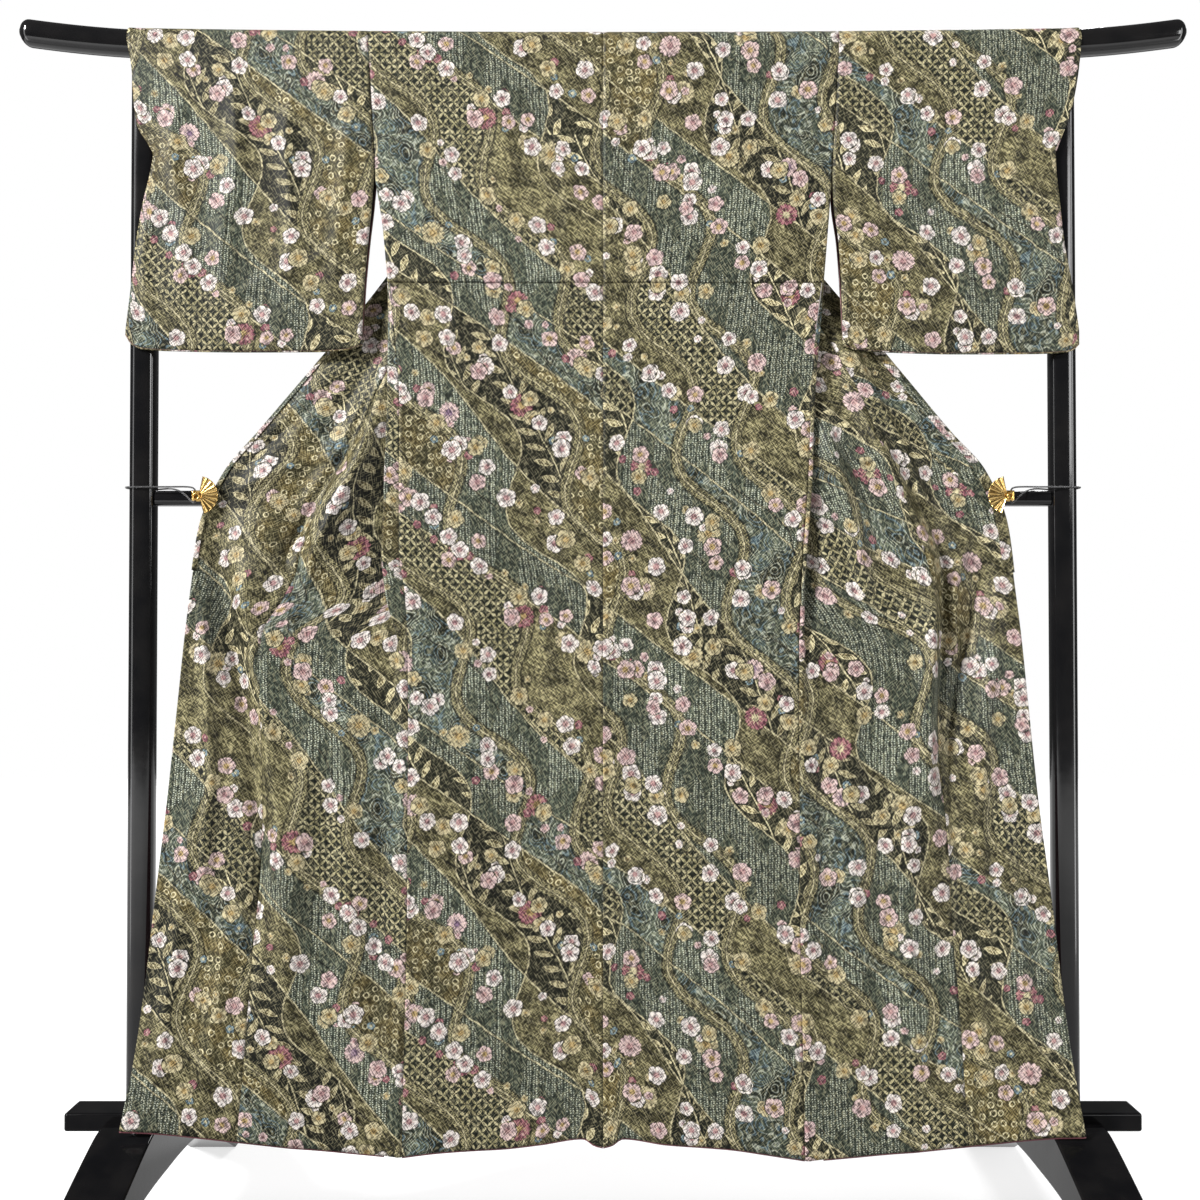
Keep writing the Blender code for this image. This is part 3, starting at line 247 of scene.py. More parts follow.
# Depth of the sleeve's two layers by height, and of the far layer beside the post, with the shares of
# the way to the cuff between which it changes to that.
LAYER_Y = dict(
    z=[1.735, 1.700, 1.566, 1.440, 1.330, 1.290],
    near=[-0.0182, -0.0196, -0.0225, -0.0240, -0.0250, -0.0240],
    far=[0.0182, 0.0192, 0.0060, -0.0040, -0.0120, -0.0215],
)
POST_SIDE_Y = dict(
    z=[1.735, 1.650, 1.630, 1.608, 1.588, 1.566, 1.290],
    y=[0.0182, 0.0205, 0.0190, 0.0080, -0.0100, -0.0200, -0.0215],
)
SLEEVE_POST_START = 0.800
SLEEVE_POST_END = 0.930

# The collar's seam from the middle of the neck to the first cross-section: x, z, y. Then how far the
# band slants down from level, by height of the front edge, where it ends and begins to widen, and the
# strip of its fold that shows on each side: how wide, how thick, how far from the edge and how round.
COLLAR_NECK = [
    (0.000, 1.7470, 0.0212),
    (0.035, 1.7470, 0.0212),
    (0.068, 1.7455, 0.0214),
    (0.092, 1.7340, 0.0240),
]
COLLAR_SLANT = dict(
    z=[1.706, 1.640, 1.400, 1.150, 1.100, 1.060, 1.000],
    angle=[50, 36, 34, 38, 34, 20, 8],
)
COLLAR_END_Z = 0.960
COLLAR_START_Z = 1.70
COLLAR_FOLD = dict(left=0.005, right=0.014)
COLLAR_FOLD_WALL = 0.0012
COLLAR_FOLD_GAP = 0.0003
COLLAR_FOLD_ROUND = np.radians(np.linspace(-70, 60, 8))

# How far the fold, the collar and the hem facing lie from the cloth under them.
LAYER_STEP = 0.0019
COLLAR_STEP = 0.0026
FACING_STEP = 0.0021

# The bent plate's course in x and y, and the elastic's course.
JAW_ROUTE = [
    (0.5660, -0.0368),
    (0.5790, -0.0368),
    (0.5850, -0.0368),
    (0.5850, -0.0205),
    (0.5790, -0.0205),
    (0.5540, -0.0205),
]
ELASTIC_ROUTE = [
    (0.5810, -0.0285, 1.0735),
    (0.5810, -0.0285, 1.0800),
    (0.5830, -0.0280, 1.0850),
    (0.5930, -0.0240, 1.0872),
    (0.6200, -0.0200, 1.0872),
    (0.6450, -0.0196, 1.0872),
    (0.6640, -0.0200, 1.0872),
    (0.6860, -0.0190, 1.0872),
    (0.6890, 0.0000, 1.0872),
    (0.6860, 0.0190, 1.0872),
    (0.6640, 0.0200, 1.0872),
    (0.6440, 0.0170, 1.0872),
    (0.6250, 0.0000, 1.0872),
    (0.6050, -0.0150, 1.0820),
    (0.5900, -0.0240, 1.0680),
    (0.5830, -0.0280, 1.0620),
    (0.5810, -0.0285, 1.0670),
]

# Creases, in millimetres: how far a crease stands out, less than nothing for a trough, its half width,
# and its course as places beside the centre line and heights. First those of the opened fronts.
FRONT_CREASES = dict(
    left=[
        (-12.7, 9, 306, 1292, 354, 1165, 370, 1134, 418, 1048, 449, 992, 462, 939),
        (15.0, 12, 289, 1278, 335, 1151, 380, 1049, 411, 981, 428, 896),
        (-10.6, 13, 556, 1026, 534, 896, 512, 784, 491, 657, 481, 544, 498, 417, 491, 318),
        (9.9, 14, 538, 1024, 508, 925, 484, 798, 462, 671, 450, 529, 459, 374),
        (8.7, 10, 569, 981, 562, 840, 552, 699, 562, 529, 580, 360),
        (-5.0, 8, 529, 1097, 470, 1156, 402, 1218, 335, 1286),
        (7.1, 9, 532, 1077, 463, 1108, 385, 1134, 340, 1142),
        (-5.5, 9, 535, 1062, 477, 1055, 428, 1016, 385, 939, 357, 840),
        (7.6, 10, 538, 1049, 491, 1002, 442, 911, 414, 784),
        (-7.4, 14, 326, 1108, 335, 1038, 326, 953, 315, 854),
        (8.7, 21, 402, 784, 425, 614, 439, 431, 449, 205),
        (7.6, 23, 354, 854, 363, 671, 354, 501, 368, 198),
        (7.1, 17, 566, 727, 583, 558, 608, 360, 628, 205),
        (-5.0, 15, 308, 868, 302, 642, 315, 417, 309, 191),
        (6.0, 14, 524, 501, 538, 360, 562, 205),
    ],
    right=[
        (17.2, 10, 332, 1275, 374, 1182, 404, 1111, 430, 1049, 457, 981, 462, 911, 459, 812, 456, 720,
         459, 628, 470, 529),
        (-13.3, 10, 351, 1275, 394, 1184, 425, 1112, 454, 1049, 480, 981, 481, 911, 478, 812, 476, 720,
         477, 628, 490, 544),
        (13.2, 8, 306, 1207, 323, 1136, 343, 1066, 363, 981, 374, 882),
        (-10.2, 7, 326, 1186, 351, 1122, 377, 1059, 391, 981),
        (-7.8, 8, 309, 1108, 329, 1038, 349, 974, 357, 868),
        (-12.2, 12, 549, 1009, 526, 896, 500, 798, 490, 699, 498, 558, 507, 417),
        (10.5, 12, 565, 1002, 555, 868, 535, 727, 532, 572, 546, 388),
        (-5.4, 7, 535, 1086, 487, 1120, 433, 1173, 374, 1238),
        (6.9, 7, 532, 1072, 487, 1066, 436, 1074, 391, 1108),
        (8.1, 8, 538, 1057, 512, 998, 498, 911, 501, 812),
        (5.5, 7, 538, 1097, 490, 1159, 436, 1230, 391, 1283),
        (10.0, 21, 416, 798, 425, 614, 430, 431, 442, 198),
        (8.7, 22, 357, 868, 349, 671, 357, 445, 351, 198),
        (8.1, 17, 555, 699, 569, 529, 591, 360, 611, 205),
        (-5.8, 14, 315, 854, 309, 642, 320, 417, 315, 191),
        (6.3, 14, 518, 459, 526, 332, 546, 205),
    ],
)

# Creases of the back panel, with the short gathers below its waist tuck.
BACK_CREASES = dict(
    left=[
        (3.3, 22, 188, 1306, 199, 1136, 177, 925, 191, 671, 174, 431, 188, 191),
        (-3.0, 20, 89, 1348, 78, 1094, 95, 784, 82, 501, 89, 177),
        (2.7, 16, 251, 981, 261, 755, 247, 501, 258, 177),
        (2.2, 20, 138, 1701, 148, 1560, 131, 1402),
        (2.4, 11, 308, 1673, 270, 1588, 230, 1489, 188, 1402),
        (2.1, 12, 40, 1687, 61, 1588, 49, 1489, 66, 1402),
        (1.7, 6, 272, 1362, 278, 1327, 274, 1285),
        (1.5, 5, 213, 1362, 209, 1331, 213, 1306),
        (1.8, 7, 150, 1362, 155, 1320, 150, 1275),
        (1.5, 6, 113, 1362, 109, 1337, 112, 1311),
        (1.8, 6, 44, 1362, 49, 1323, 45, 1292),
    ],
    right=[
        (3.3, 24, 123, 1320, 111, 1094, 134, 854, 120, 572, 137, 177),
        (-2.7, 18, 52, 1179, 63, 925, 52, 642, 66, 219),
        (2.7, 18, 222, 1094, 233, 840, 219, 558, 236, 191),
        (2.1, 22, 193, 1687, 186, 1546, 200, 1402),
        (2.4, 11, 315, 1673, 278, 1588, 236, 1489, 186, 1402),
        (2.0, 12, 52, 1687, 69, 1588, 59, 1489, 73, 1402),
        (1.5, 6, 41, 1362, 45, 1334, 42, 1309),
        (1.8, 6, 92, 1362, 86, 1323, 90, 1283),
        (1.5, 5, 158, 1362, 162, 1340, 159, 1317),
        (1.8, 7, 217, 1362, 212, 1317, 217, 1271),
        (1.7, 6, 278, 1362, 282, 1328, 278, 1295),
    ],
)

# Creases of the sleeves.
SLEEVE_CREASES = dict(
    left=[
        (3.3, 13, 359, 1683, 369, 1568, 379, 1454, 390, 1304),
        (3.9, 16, 433, 1704, 455, 1583, 445, 1454, 462, 1290),
        (4.5, 18, 536, 1704, 525, 1568, 545, 1440, 530, 1290),
        (3.6, 14, 605, 1683, 619, 1568, 598, 1454, 616, 1304),
        (2.7, 8, 645, 1511, 658, 1411, 645, 1304),
        (2.4, 9, 633, 1547, 590, 1503, 530, 1476, 473, 1423),
        (2.1, 8, 369, 1454, 419, 1408, 488, 1383, 555, 1340),
    ],
    right=[
        (3.6, 14, 375, 1683, 385, 1554, 379, 1440, 393, 1304),
        (4.2, 17, 446, 1704, 432, 1568, 450, 1440, 436, 1290),
        (3.9, 16, 522, 1683, 532, 1554, 513, 1426, 528, 1290),
        (3.3, 13, 596, 1669, 585, 1554, 608, 1440, 596, 1304),
        (2.7, 8, 646, 1490, 633, 1397, 648, 1297),
        (2.4, 9, 632, 1540, 582, 1500, 528, 1474, 470, 1426),
        (2.1, 8, 365, 1454, 413, 1408, 479, 1375, 546, 1337),
    ],
)

# Where the back's creases fade, beside its seams and below the bar, and the tuck sewn across it at the
# waist.
SEAM_FADE = 0.06
BAR_FADE = 0.94
TUCK_Z = 1.383
TUCK_STAND = 0.0016
TUCK_FADE = 0.016
TUCK_EDGE = 0.0008
TUCK_ROWS = np.array([-8, -5, -3, -1.8, -1.0, -0.4, 0.0, 0.4, 1.0, 1.8, 3, 5, 8]) * MM
TUCK_CLEAR = 0.009

# How fine each piece's grid is.
BACK_ROWS = 220
WRAP_ROWS = 20
FRONT_ROWS = 260
BODY_COLUMNS = 84
GORE_COLUMNS = 44
SLEEVE_ROWS = 100
SLEEVE_COLUMNS = 90
COLLAR_COLUMNS = 14
COLLAR_FOLD_COLUMNS = 10
BACK_FACING_COLUMNS = 60
FRONT_FACING_COLUMNS = 80
BAR_SIDES = 72
POST_SIDES = 64
RAIL_SIDES = 48
CORD_SIDES = 12
FAN_RAYS = 14
FAN_PLEAT_STEPS = 10
CREASE_STEPS = 19
SECTION_SAMPLES = 420

# How a front's cross-section rounds its fold edge and its turn, how much of its last run is straight,
# the shares of it over which its creases begin, the sample from which what lies on the front is laid,
# and how far from the fold and from the clip the creases are held down.
FOLD_LEAD = 0.004
FOLD_STAND = 0.001
TURN_LEAD = 0.010
FOLD_OPENS = 0.020
EDGE_RUN = 0.15
OUTWARD_RUN = (0.42, 0.46)
OUTWARD_START = 5 * SECTION_SAMPLES // 12
BESIDE_FOLD = (0.002, 0.030)
CLIP_HOLD = 0.034

# How the sleeve's columns crowd towards its middle, the share of the way up at which its creases
# begin to fade, how round its bottom is and the shares of the way at which its rows cross that.
SLEEVE_CROWDING = 0.035
SLEEVE_FADE = 0.9
SLEEVE_ROUND = 0.0016
SLEEVE_BOTTOM_STEPS = np.array([0.25, 0.5, 0.75, 0.97])[:, None, None]

# Where in the print the body's and the collar's cloth begin, and how strongly the lacquer of the stand
# and of its feet bends light. Then the lining's seam, the floor, the light of the surround, and the
# lights: the place of each, what it faces, its width and height, and its power.
BODY_PRINT_START = (2.0, 0.0)
COLLAR_PRINT_START = (2.13, 0.31)
COAT_GLOSS = 1.45
FOOT_COAT_GLOSS = 1.16
LINING_ROSE_TOP = 0.66
FLOOR_REACH = 6.0
ROOM_LIGHT = 0.12
LIGHTS = dict(
    key_light=((-7.0, -5.4, 6.0), (0, 0, 0.9), (1.8, 1.8), 2500),
    fill_light=((3.8, -4.0, 2.4), (0, 0, 0.9), (1.6, 1.6), 90),
    overhead_light=((0, -0.5, 4.0), (0, 0, 0), (2.2, 0.8), 25),
    back_light=((1.2, 3.0, 3.6), (0, 0, 0.9), (1.2, 1.2), 120),
    left_strip=((-2.3, -1.0, 1.2), (0, 0, 1.2), (0.5, 2.6), 16),
    right_strip=((2.3, -1.0, 1.2), (0, 0, 1.2), (0.5, 2.6), 30),
)


# Curves and grids.


def word_of(side):
    """The side's name."""
    return "left" if side < 0 else "right"


def smooth_through(knots, values, at):
    """Values at given places on a smooth curve through the knots, with no overshoot between them.

    Each two knots are joined by a cubic. Its slope at a knot is the weighted harmonic mean of the
    straight slopes on either side, or level where one rises and the other falls.
    """
    knots = np.asarray(knots, float)
    values = np.asarray(values, float)
    if knots[0] > knots[-1]:
        knots = knots[::-1]
        values = values[::-1]
    steps = np.diff(knots)
    slopes = np.diff(values) / steps
    tangents = np.zeros_like(values)
    same_way = slopes[:-1] * slopes[1:] > 0
    before = 2 * steps[1:] + steps[:-1]
    after = steps[1:] + 2 * steps[:-1]
    safe_first = np.where(same_way, slopes[:-1], 1.0)
    safe_second = np.where(same_way, slopes[1:], 1.0)
    mean = (before + after) / (before / safe_first + after / safe_second)
    tangents[1:-1] = np.where(same_way, mean, 0.0)
    tangents[0] = slopes[0]
    tangents[-1] = slopes[-1]
    at = np.clip(at, knots[0], knots[-1])
    i = np.clip(np.searchsorted(knots, at) - 1, 0, len(steps) - 1)
    t = (at - knots[i]) / steps[i]
    h = steps[i]
    first = (1 + 2 * t) * (1 - t) ** 2 * values[i] + t * (1 - t) ** 2 * h * tangents[i]
    second = t * t * (3 - 2 * t) * values[i + 1] + t * t * (t - 1) * h * tangents[i + 1]
    return first + second


def read(table, column, at, key="z"):
    """A table's column at given places along its key column."""
    return smooth_through(table[key], table[column], at)


def smooth_step(low, high, at):
    """0 below low, 1 above high and between them three times the share's square less twice its cube."""
    t = np.clip((at - low) / (high - low), 0, 1)
    return t * t * (3 - 2 * t)


def rounded_path(points, samples):
    """Curves that start and end at the first and last point of each row and round each corner between.

    Each corner is rounded by a parabola from the middle of the leg before it to the middle of the leg
    after it, with the corner as its control point.
    """
    points = np.asarray(points, float)
    count = points.shape[-2] - 2
    middles = (points[..., 1:-2, :] + points[..., 2:-1, :]) / 2
    starts = np.concatenate([points[..., :1, :], middles], axis=-2)
    ends = np.concatenate([middles, points[..., -1:, :]], axis=-2)
    t = np.linspace(0, count, samples)
    i = np.minimum(t.astype(int), count - 1)
    t = (t - i)[:, None]
    corner = points[..., i + 1, :]
    return (1 - t) ** 2 * starts[..., i, :] + 2 * t * (1 - t) * corner + t * t * ends[..., i, :]


def crease_relief(creases, x, z):
    """How far creases lift a surface at places beside the centre line and heights.

    Each crease adds its depth times a bell with a sharp crest: 0.65 of e to the minus square of the
    distance from its course over its half width, and 0.35 of e to the minus 1.8 times it. It fades in
    over the first quarter of its course and out over the last third.
    """
    lift = np.zeros(np.shape(x))
    place = np.stack([x, z], axis=-1)
    for depth, width, *course in creases:
        course = np.reshape(course, (-1, 2)) * MM
        knots = np.linspace(0, 1, len(course))
        steps = np.linspace(0, 1, CREASE_STEPS)
        line = np.stack([smooth_through(knots, places, steps) for places in course.T], axis=-1)
        reach = 3 * width * MM
        near = np.all((place > line.min(axis=0) - reach) & (place < line.max(axis=0) + reach), axis=-1)
        if not near.any():
            continue
        start, step = line[:-1], np.diff(line, axis=0)
        away = place[near][:, None] - start
        part = np.clip((away * step).sum(axis=-1) / (step ** 2).sum(axis=-1), 0, 1)
        distance = ((away - part[..., None] * step) ** 2).sum(axis=-1)
        nearest = distance.argmin(axis=1)
        row = np.arange(len(nearest))
        run = (nearest + part[row, nearest]) / len(step)
        fade = smooth_step(0, 0.25, run) * smooth_step(1, 0.66, run)
        away = np.sqrt(distance[row, nearest]) / (width * MM)
        lift[near] += depth * MM * fade * (0.65 * np.exp(-away ** 2) + 0.35 * np.exp(-1.8 * away))
    return lift


def along(rows):
    """Distance along each row of a grid from its first point."""
    steps = np.linalg.norm(np.diff(rows, axis=-2), axis=-1)
    start = np.zeros(steps.shape[:-1] + (1,))
    return np.concatenate([start, np.cumsum(steps, axis=-1)], axis=-1)


def points_at(row, places, at):
    """Points of one row at given places, where the row's own points lie at other places."""
    return np.stack([np.interp(places, at, column) for column in row.T], axis=-1)


def points_between(rows, starts, ends, count):
    """Points between two distances along each row, at even steps of its own samples.

    The samples lie closer together where a row bends, and so do these points.
    """
    samples = np.arange(rows.shape[1])
    grid = []
    for row, length, start, end in zip(rows, along(rows), starts, ends):
        first, last = np.interp([start, end], length, samples)
        grid.append(points_at(row, np.linspace(first, last, count), samples))
    return np.array(grid)


def unit(vectors):
    """The vectors with a length of one."""
    return vectors / np.linalg.norm(vectors, axis=-1)[..., None]


def seam_turned(rows, flip, first=True, last=True):
    """The rows with columns added at one or both ends that turn in, as a seam allowance does.

    Each added point goes from its row's end straight into the cloth, along the surface's normal turned
    inward, and half a seam's gap back along the row.
    """
    down = np.gradient(rows, axis=0)
    parts = [rows]
    for wanted, end, beside in ((first, 0, 1), (last, -1, -2)):
        if not wanted:
            continue
        back = unit(rows[:, beside] - rows[:, end])
        across = back if end == 0 else -back
        inward = unit(np.cross(across, down[:, end])) * (1 if flip else -1)
        inside = rows[:, end][:, None] + back[:, None] * SEAM_HALF + inward[:, None] * SEAM_TURN_STEPS
        if end == 0:
            parts.insert(0, inside[:, ::-1])
        else:
            parts.append(inside)
    return np.concatenate(parts, axis=1)


def joined(x, y, z):
    """Points from three arrays or numbers that fit one another."""
    return np.stack(np.broadcast_arrays(x, y, z), axis=-1)


def ride_root(obj, slot_name, *nodes):
    """Let the object ride the root and hide the nodes that it replaces."""
    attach(obj, "root")
    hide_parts(*nodes)
    return obj


def settled(thing, settings):
    """The thing with its settings made."""
    for setting, value in settings.items():
        setattr(thing, setting, value)
    return thing


def modified(obj, name, kind, **settings):
    """The object with one more modifier."""
    settled(obj.modifiers.new(name, kind), settings)
    return obj


def placed(name, data, place=(0, 0, 0), turn=(0, 0, 0)):
    """An object of the scene, at a place and with a turn."""
    obj = bpy.data.objects.new(name, data)
    bpy.context.scene.collection.objects.link(obj)
    return settled(obj, {"location": place, "rotation_euler": turn})


def make_object(name, mesh, materials):
    """An object of a mesh and its materials."""
    for material in materials:
        mesh.materials.append(material)
    return placed(name, mesh)


def grid_object(name, grid, across, down, materials, flip=False):
    """A smooth sheet on a grid of points, with across and down as its cloth coordinates in metres."""
    rows, columns = grid.shape[:2]
    index = np.arange(rows * columns).reshape(rows, columns)
    corners = np.stack([index[:-1, :-1], index[:-1, 1:], index[1:, 1:], index[1:, :-1]], axis=-1)
    faces = corners.reshape(-1, 4)
    if flip:
        faces = faces[:, ::-1]
    mesh = bpy.data.meshes.new(name)
    mesh.from_pydata(grid.reshape(-1, 3), [], faces)
    places = joined(across, down, grid[:, :, 0])[:, :, :2].reshape(-1, 2)
    layer = mesh.uv_layers.new(name="Cloth")
    layer.data.foreach_set("uv", places[faces.ravel()].ravel().astype(np.float32))
    mesh.shade_smooth()
    return make_object(name, mesh, materials)


def thickened(obj, wall, inside=0, rim=0):
    """The sheet with a thickness, and the places in its list of the far side's and rim's materials."""
    return modified(obj, "Wall", "SOLIDIFY", thickness=wall, offset=0.0, material_offset=inside,
                    material_offset_rim=rim)


def hung(kind, rows, side, materials, slot_name, node, across=None, fall=1, flip=None, wall=WALL):
    """A sheet of cloth with its lining inside, and its cloth coordinates along its rows and down them."""
    if across is None:
        across = side * along(rows)
    flip = side > 0 if flip is None else flip
    name = kind + "_" + word_of(side)
    obj = grid_object(name, rows, across, fall * mean_steps(rows)[:, None], materials, flip)
    return ride_root(thickened(obj, wall, 1, 2), slot_name, node + "_" + word_of(side))


# The cloth's surfaces.


def bar_centre(x):
    """Height of the bar's middle line: a slight sag between the posts, then ends that rise."""
    x = np.abs(x)
    tip = np.clip((x - BAR_TIP_START) / (BAR_HALF_LENGTH - BAR_TIP_START), 0, 1)
    return BAR_CENTRE_Z + BAR_SAG * (x / BAR_SAG_REACH) ** 2 + BAR_TIP_RISE * tip ** BAR_TIP_POWER


def front_table(side):
    """The cross-sections of one side as named columns."""
    return dict(zip(SECTION_COLUMNS, np.transpose(SECTIONS[word_of(side)]) * MM))


def front_sections(side, z):
    """Cross-sections of the front at given heights, from the side seam to the front edge.

    A section's corners are read from the table at its height and rounded. Its height runs from the
    side seam's to the front edge's in proportion to the distance along it, less the hem's drop, and
    its creases move it level towards the viewer.
    """
    table = front_table(side)
    at = types.SimpleNamespace(**{name: read(table, name, z) for name in table})
    folded = np.clip((at.fold_x - at.turn_x) / FOLD_OPENS, 0, 1)
    lead = TURN_LEAD * folded
    route = [
        (read(BACK_EDGE, word_of(side), z) + 2 * SEAM_HALF, at.seam_y),
        (at.fold_x - FOLD_LEAD, at.fold_y - FOLD_STAND),
        (at.fold_x, at.fold_y - FOLD_STAND / 2),
        (at.fold_x, at.fold_y + np.minimum(at.leg, FOLD_LEAD) * folded),
        (at.turn_x + lead, at.turn_y),
        (at.turn_x, at.turn_y),
        (at.turn_x, at.turn_y + at.leg * folded),
        (at.turn_x + lead, at.turn_y + at.leg * folded),
        (at.ridge_x, at.ridge_y),
        (at.dip_x, at.dip_y),
        (at.gore_x, at.gore_y),
        (at.hollow_x, at.hollow_y),
        (at.edge_x - EDGE_RUN * (at.edge_x - at.hollow_x), at.edge_y),
        (at.edge_x, at.edge_y),
    ]
    corners = np.stack([joined(x, y, 0 * z) for x, y in route], axis=1)
    rows = rounded_path(corners, SECTION_SAMPLES)
    part = along(rows)
    part = part / part[:, -1:]
    drop = np.interp(part, FRONT_HEM_DROP["part"], FRONT_HEM_DROP["drop"])
    rows[:, :, 2] = z[:, None] + (at.edge_z - z)[:, None] * part - drop
    rows[:, :, 1] -= front_relief(side, rows, at.fold_x)
    rows[:, :, 0] *= side
    return rows


def front_relief(side, rows, fold_x):
    """The fronts' creases on their outward run, fading beside the fold edge and round the clip."""
    x, z = rows[:, :, 0], rows[:, :, 2]
    outward = smooth_step(*OUTWARD_RUN, np.linspace(0, 1, rows.shape[1]))[None]
    beside = smooth_step(*BESIDE_FOLD, x - fold_x[:, None])
    from_clip = (x - CLIP_HUB_X) ** 2 + (z - CLIP_HUB_Z) ** 2
    held = 1 - np.exp(-from_clip / CLIP_HOLD ** 2)
    return crease_relief(FRONT_CREASES[word_of(side)], x, z) * outward * beside * held


def front_levels(side):
    """Heights of the front's rows, a little closer together near the shoulder."""
    table = front_table(side)
    part = np.linspace(0, 1, FRONT_ROWS)
    top, bottom = table["z"][0], table["z"][-1]
    return top + (bottom - top) * (0.85 * part + 0.15 * part ** 2)


def gore_width(side, z):
    """How wide the gore is at a height of the side seam."""
    return np.interp(z, GORE_WIDTH["z"], GORE_WIDTH[word_of(side)])


def gore_seam(side, z, rows):
    """Distance along each cross-section at which the front panel ends and the gore begins.

    The section is shared out in proportion to the two pieces' widths.
    """
    whole = along(rows)[:, -1]
    return whole * FRONT_WIDTH / (FRONT_WIDTH + gore_width(side, z))


def back_rows(side):
    """Rows of the back panel from the hem up to the bar, hanging slightly hollow.

    Across a row, the depth goes from the outer edge's to the centre seam's with the square of the way
    left. Up the panel, the hem's curve fades and the bar's comes in with squares of the same kind. The
    tuck is a step at the waist, with an exponential fall on each side.
    """
    low, high = BACK_EDGE["z"][-1], BACK_EDGE["z"][0]
    level = np.linspace(low, high, BACK_ROWS)
    level = np.sort(np.concatenate([level[np.abs(level - TUCK_Z) > TUCK_CLEAR], TUCK_Z + TUCK_ROWS]))
    part = ((level - low) / (high - low))[:, None]
    across = np.linspace(0, 1, BODY_COLUMNS)[None]
    columns = (word_of(side), "y", "middle_y")
    edge_x, edge_y, middle_y = (read(BACK_EDGE, column, level)[:, None] for column in columns)
    x = edge_x + (SEAM_HALF - edge_x) * across
    y = middle_y + (edge_y - middle_y) * (1 - across) ** 2
    lift = read(BACK_HEM, word_of(side), x, "x") - low
    sag = bar_centre(x) - bar_centre(BAR_SAG_REACH)
    z = level[:, None] + lift * (1 - part) ** 2
    z = z + (bar_centre(BAR_SAG_REACH) - high + sag) * part ** 2
    below = level[:, None] - TUCK_Z
    tuck = TUCK_STAND * np.exp(-np.abs(below) / TUCK_FADE) * np.clip(below / TUCK_EDGE, -0.7, 1)
    hanging = smooth_step(0, SEAM_FADE, across * (1 - across)) * smooth_step(1.0, BAR_FADE, part)
    relief = crease_relief(BACK_CREASES[word_of(side)], x, z) * hanging
    return joined(side * x, y - relief - tuck, z)


def over_bar(x, angle):
    """Depth and height of cloth lying on the bar, at an angle from the far side over the top.

    The section is between an ellipse and a rectangle: the angle's cosine and sine, each to the power
    two over the bar's own power, times the half depth and the half height.
    """
    turn = np.radians(angle)
    y = np.copysign(np.abs(np.cos(turn)) ** (2 / BAR_POWER), np.cos(turn)) * CLOTH_BAR_DEPTH
    z = bar_centre(x) + CLOTH_BAR_HEIGHT * np.sin(turn) ** (2 / BAR_POWER)
    return y, z


def wrap_rows(side):
    """Rows over the bar, from its back to its front, where the neck opening begins."""
    armhole = BACK_EDGE[word_of(side)][0]
    angle = np.linspace(180, 0, WRAP_ROWS + 2)[1:-1, None]
    neck = smooth_step(NECK_ANGLE + NECK_EASE, NECK_ANGLE - NECK_EASE, angle)
    inner = SEAM_HALF + (NECK_HALF_WIDTH - SEAM_HALF) * neck
    x = armhole + (inner - armhole) * np.linspace(0, 1, BODY_COLUMNS)[None]
    y, z = over_bar(x, angle)
    return joined(side * x, y, z)


def body_rows(side):
    """The body panel: up the back, over the bar and down the front to the hem."""
    z = front_levels(side)
    sections = front_sections(side, z)
    seam = gore_seam(side, z, sections)
    front = points_between(sections, 0 * seam, seam - SEAM_HALF, BODY_COLUMNS)
    return np.concatenate([back_rows(side), wrap_rows(side), front])


def gore_rows(side):
    """The gore from its point to the hem, at the heights of the front panel's rows."""
    z = front_levels(side)
    z = z[gore_width(side, z) > GORE_LEAST_WIDTH]
    sections = front_sections(side, z)
    seam = gore_seam(side, z, sections)
    return points_between(sections, seam + SEAM_HALF, along(sections)[:, -1], GORE_COLUMNS)


def mean_steps(rows):
    """Distance down a grid from its first row, the same across each row."""
    steps = np.linalg.norm(np.diff(rows, axis=0), axis=-1).mean(axis=1)
    return np.concatenate([[0.0], np.cumsum(steps)])


def build_body(side, materials):
    """The body panel, its cloth coordinates measured from the centre seam's side."""
    rows = seam_turned(body_rows(side), flip=side > 0)
    across = side * (CLOTH_WIDTH - along(rows))
    obj = hung("body_cloth", rows, side, materials, "printed_silk", "body", across)


def build_gore(side, materials):
    """The gore, whose print runs the other way up."""
    rows = seam_turned(gore_rows(side), flip=side > 0, last=False)
    obj = hung("gore_cloth", rows, side, materials, "printed_silk", "gore", fall=-1)


def sleeve_layers(side):
    """The sleeve's two layers from the bottom up to the bar.

    At each height x goes straight from the armhole's to the cuff's, in columns that a sine crowds a
    little towards the middle. Each layer has its own depth by height, and near the cuff the far one
    goes over to the depth beside the post.
    """
    outline = {"z": SLEEVE["z"], **SLEEVE[word_of(side)]}
    part = np.linspace(0, 1, SLEEVE_COLUMNS)[None]
    part = part + SLEEVE_CROWDING * np.sin(2 * np.pi * part)
    step = np.linspace(0, 1, SLEEVE_ROWS)[:, None]
    top = outline["z"][0]
    floor_z = read(SLEEVE_BOTTOM, word_of(side), part, "part")
    z = floor_z + (top - floor_z) * step
    inner = read(outline, "inner", z)
    near_x = inner + (read(outline, "cuff", z) - inner) * part
    far_x = inner + (read(outline, "far", z) - inner) * part
    far_y = read(LAYER_Y, "far", z)
    to_post = smooth_step(SLEEVE_POST_START, SLEEVE_POST_END, part)
    far_y = far_y + (read(POST_SIDE_Y, "y", z) - far_y) * to_post
    lift = (bar_centre(near_x) - top) * step ** 2
    relief = crease_relief(SLEEVE_CREASES[word_of(side)], near_x, z) * smooth_step(1.0, SLEEVE_FADE, step)
    near = joined(side * near_x, read(LAYER_Y, "near", z) - relief, z + lift)
    return near, joined(side * far_x, far_y, z + lift)


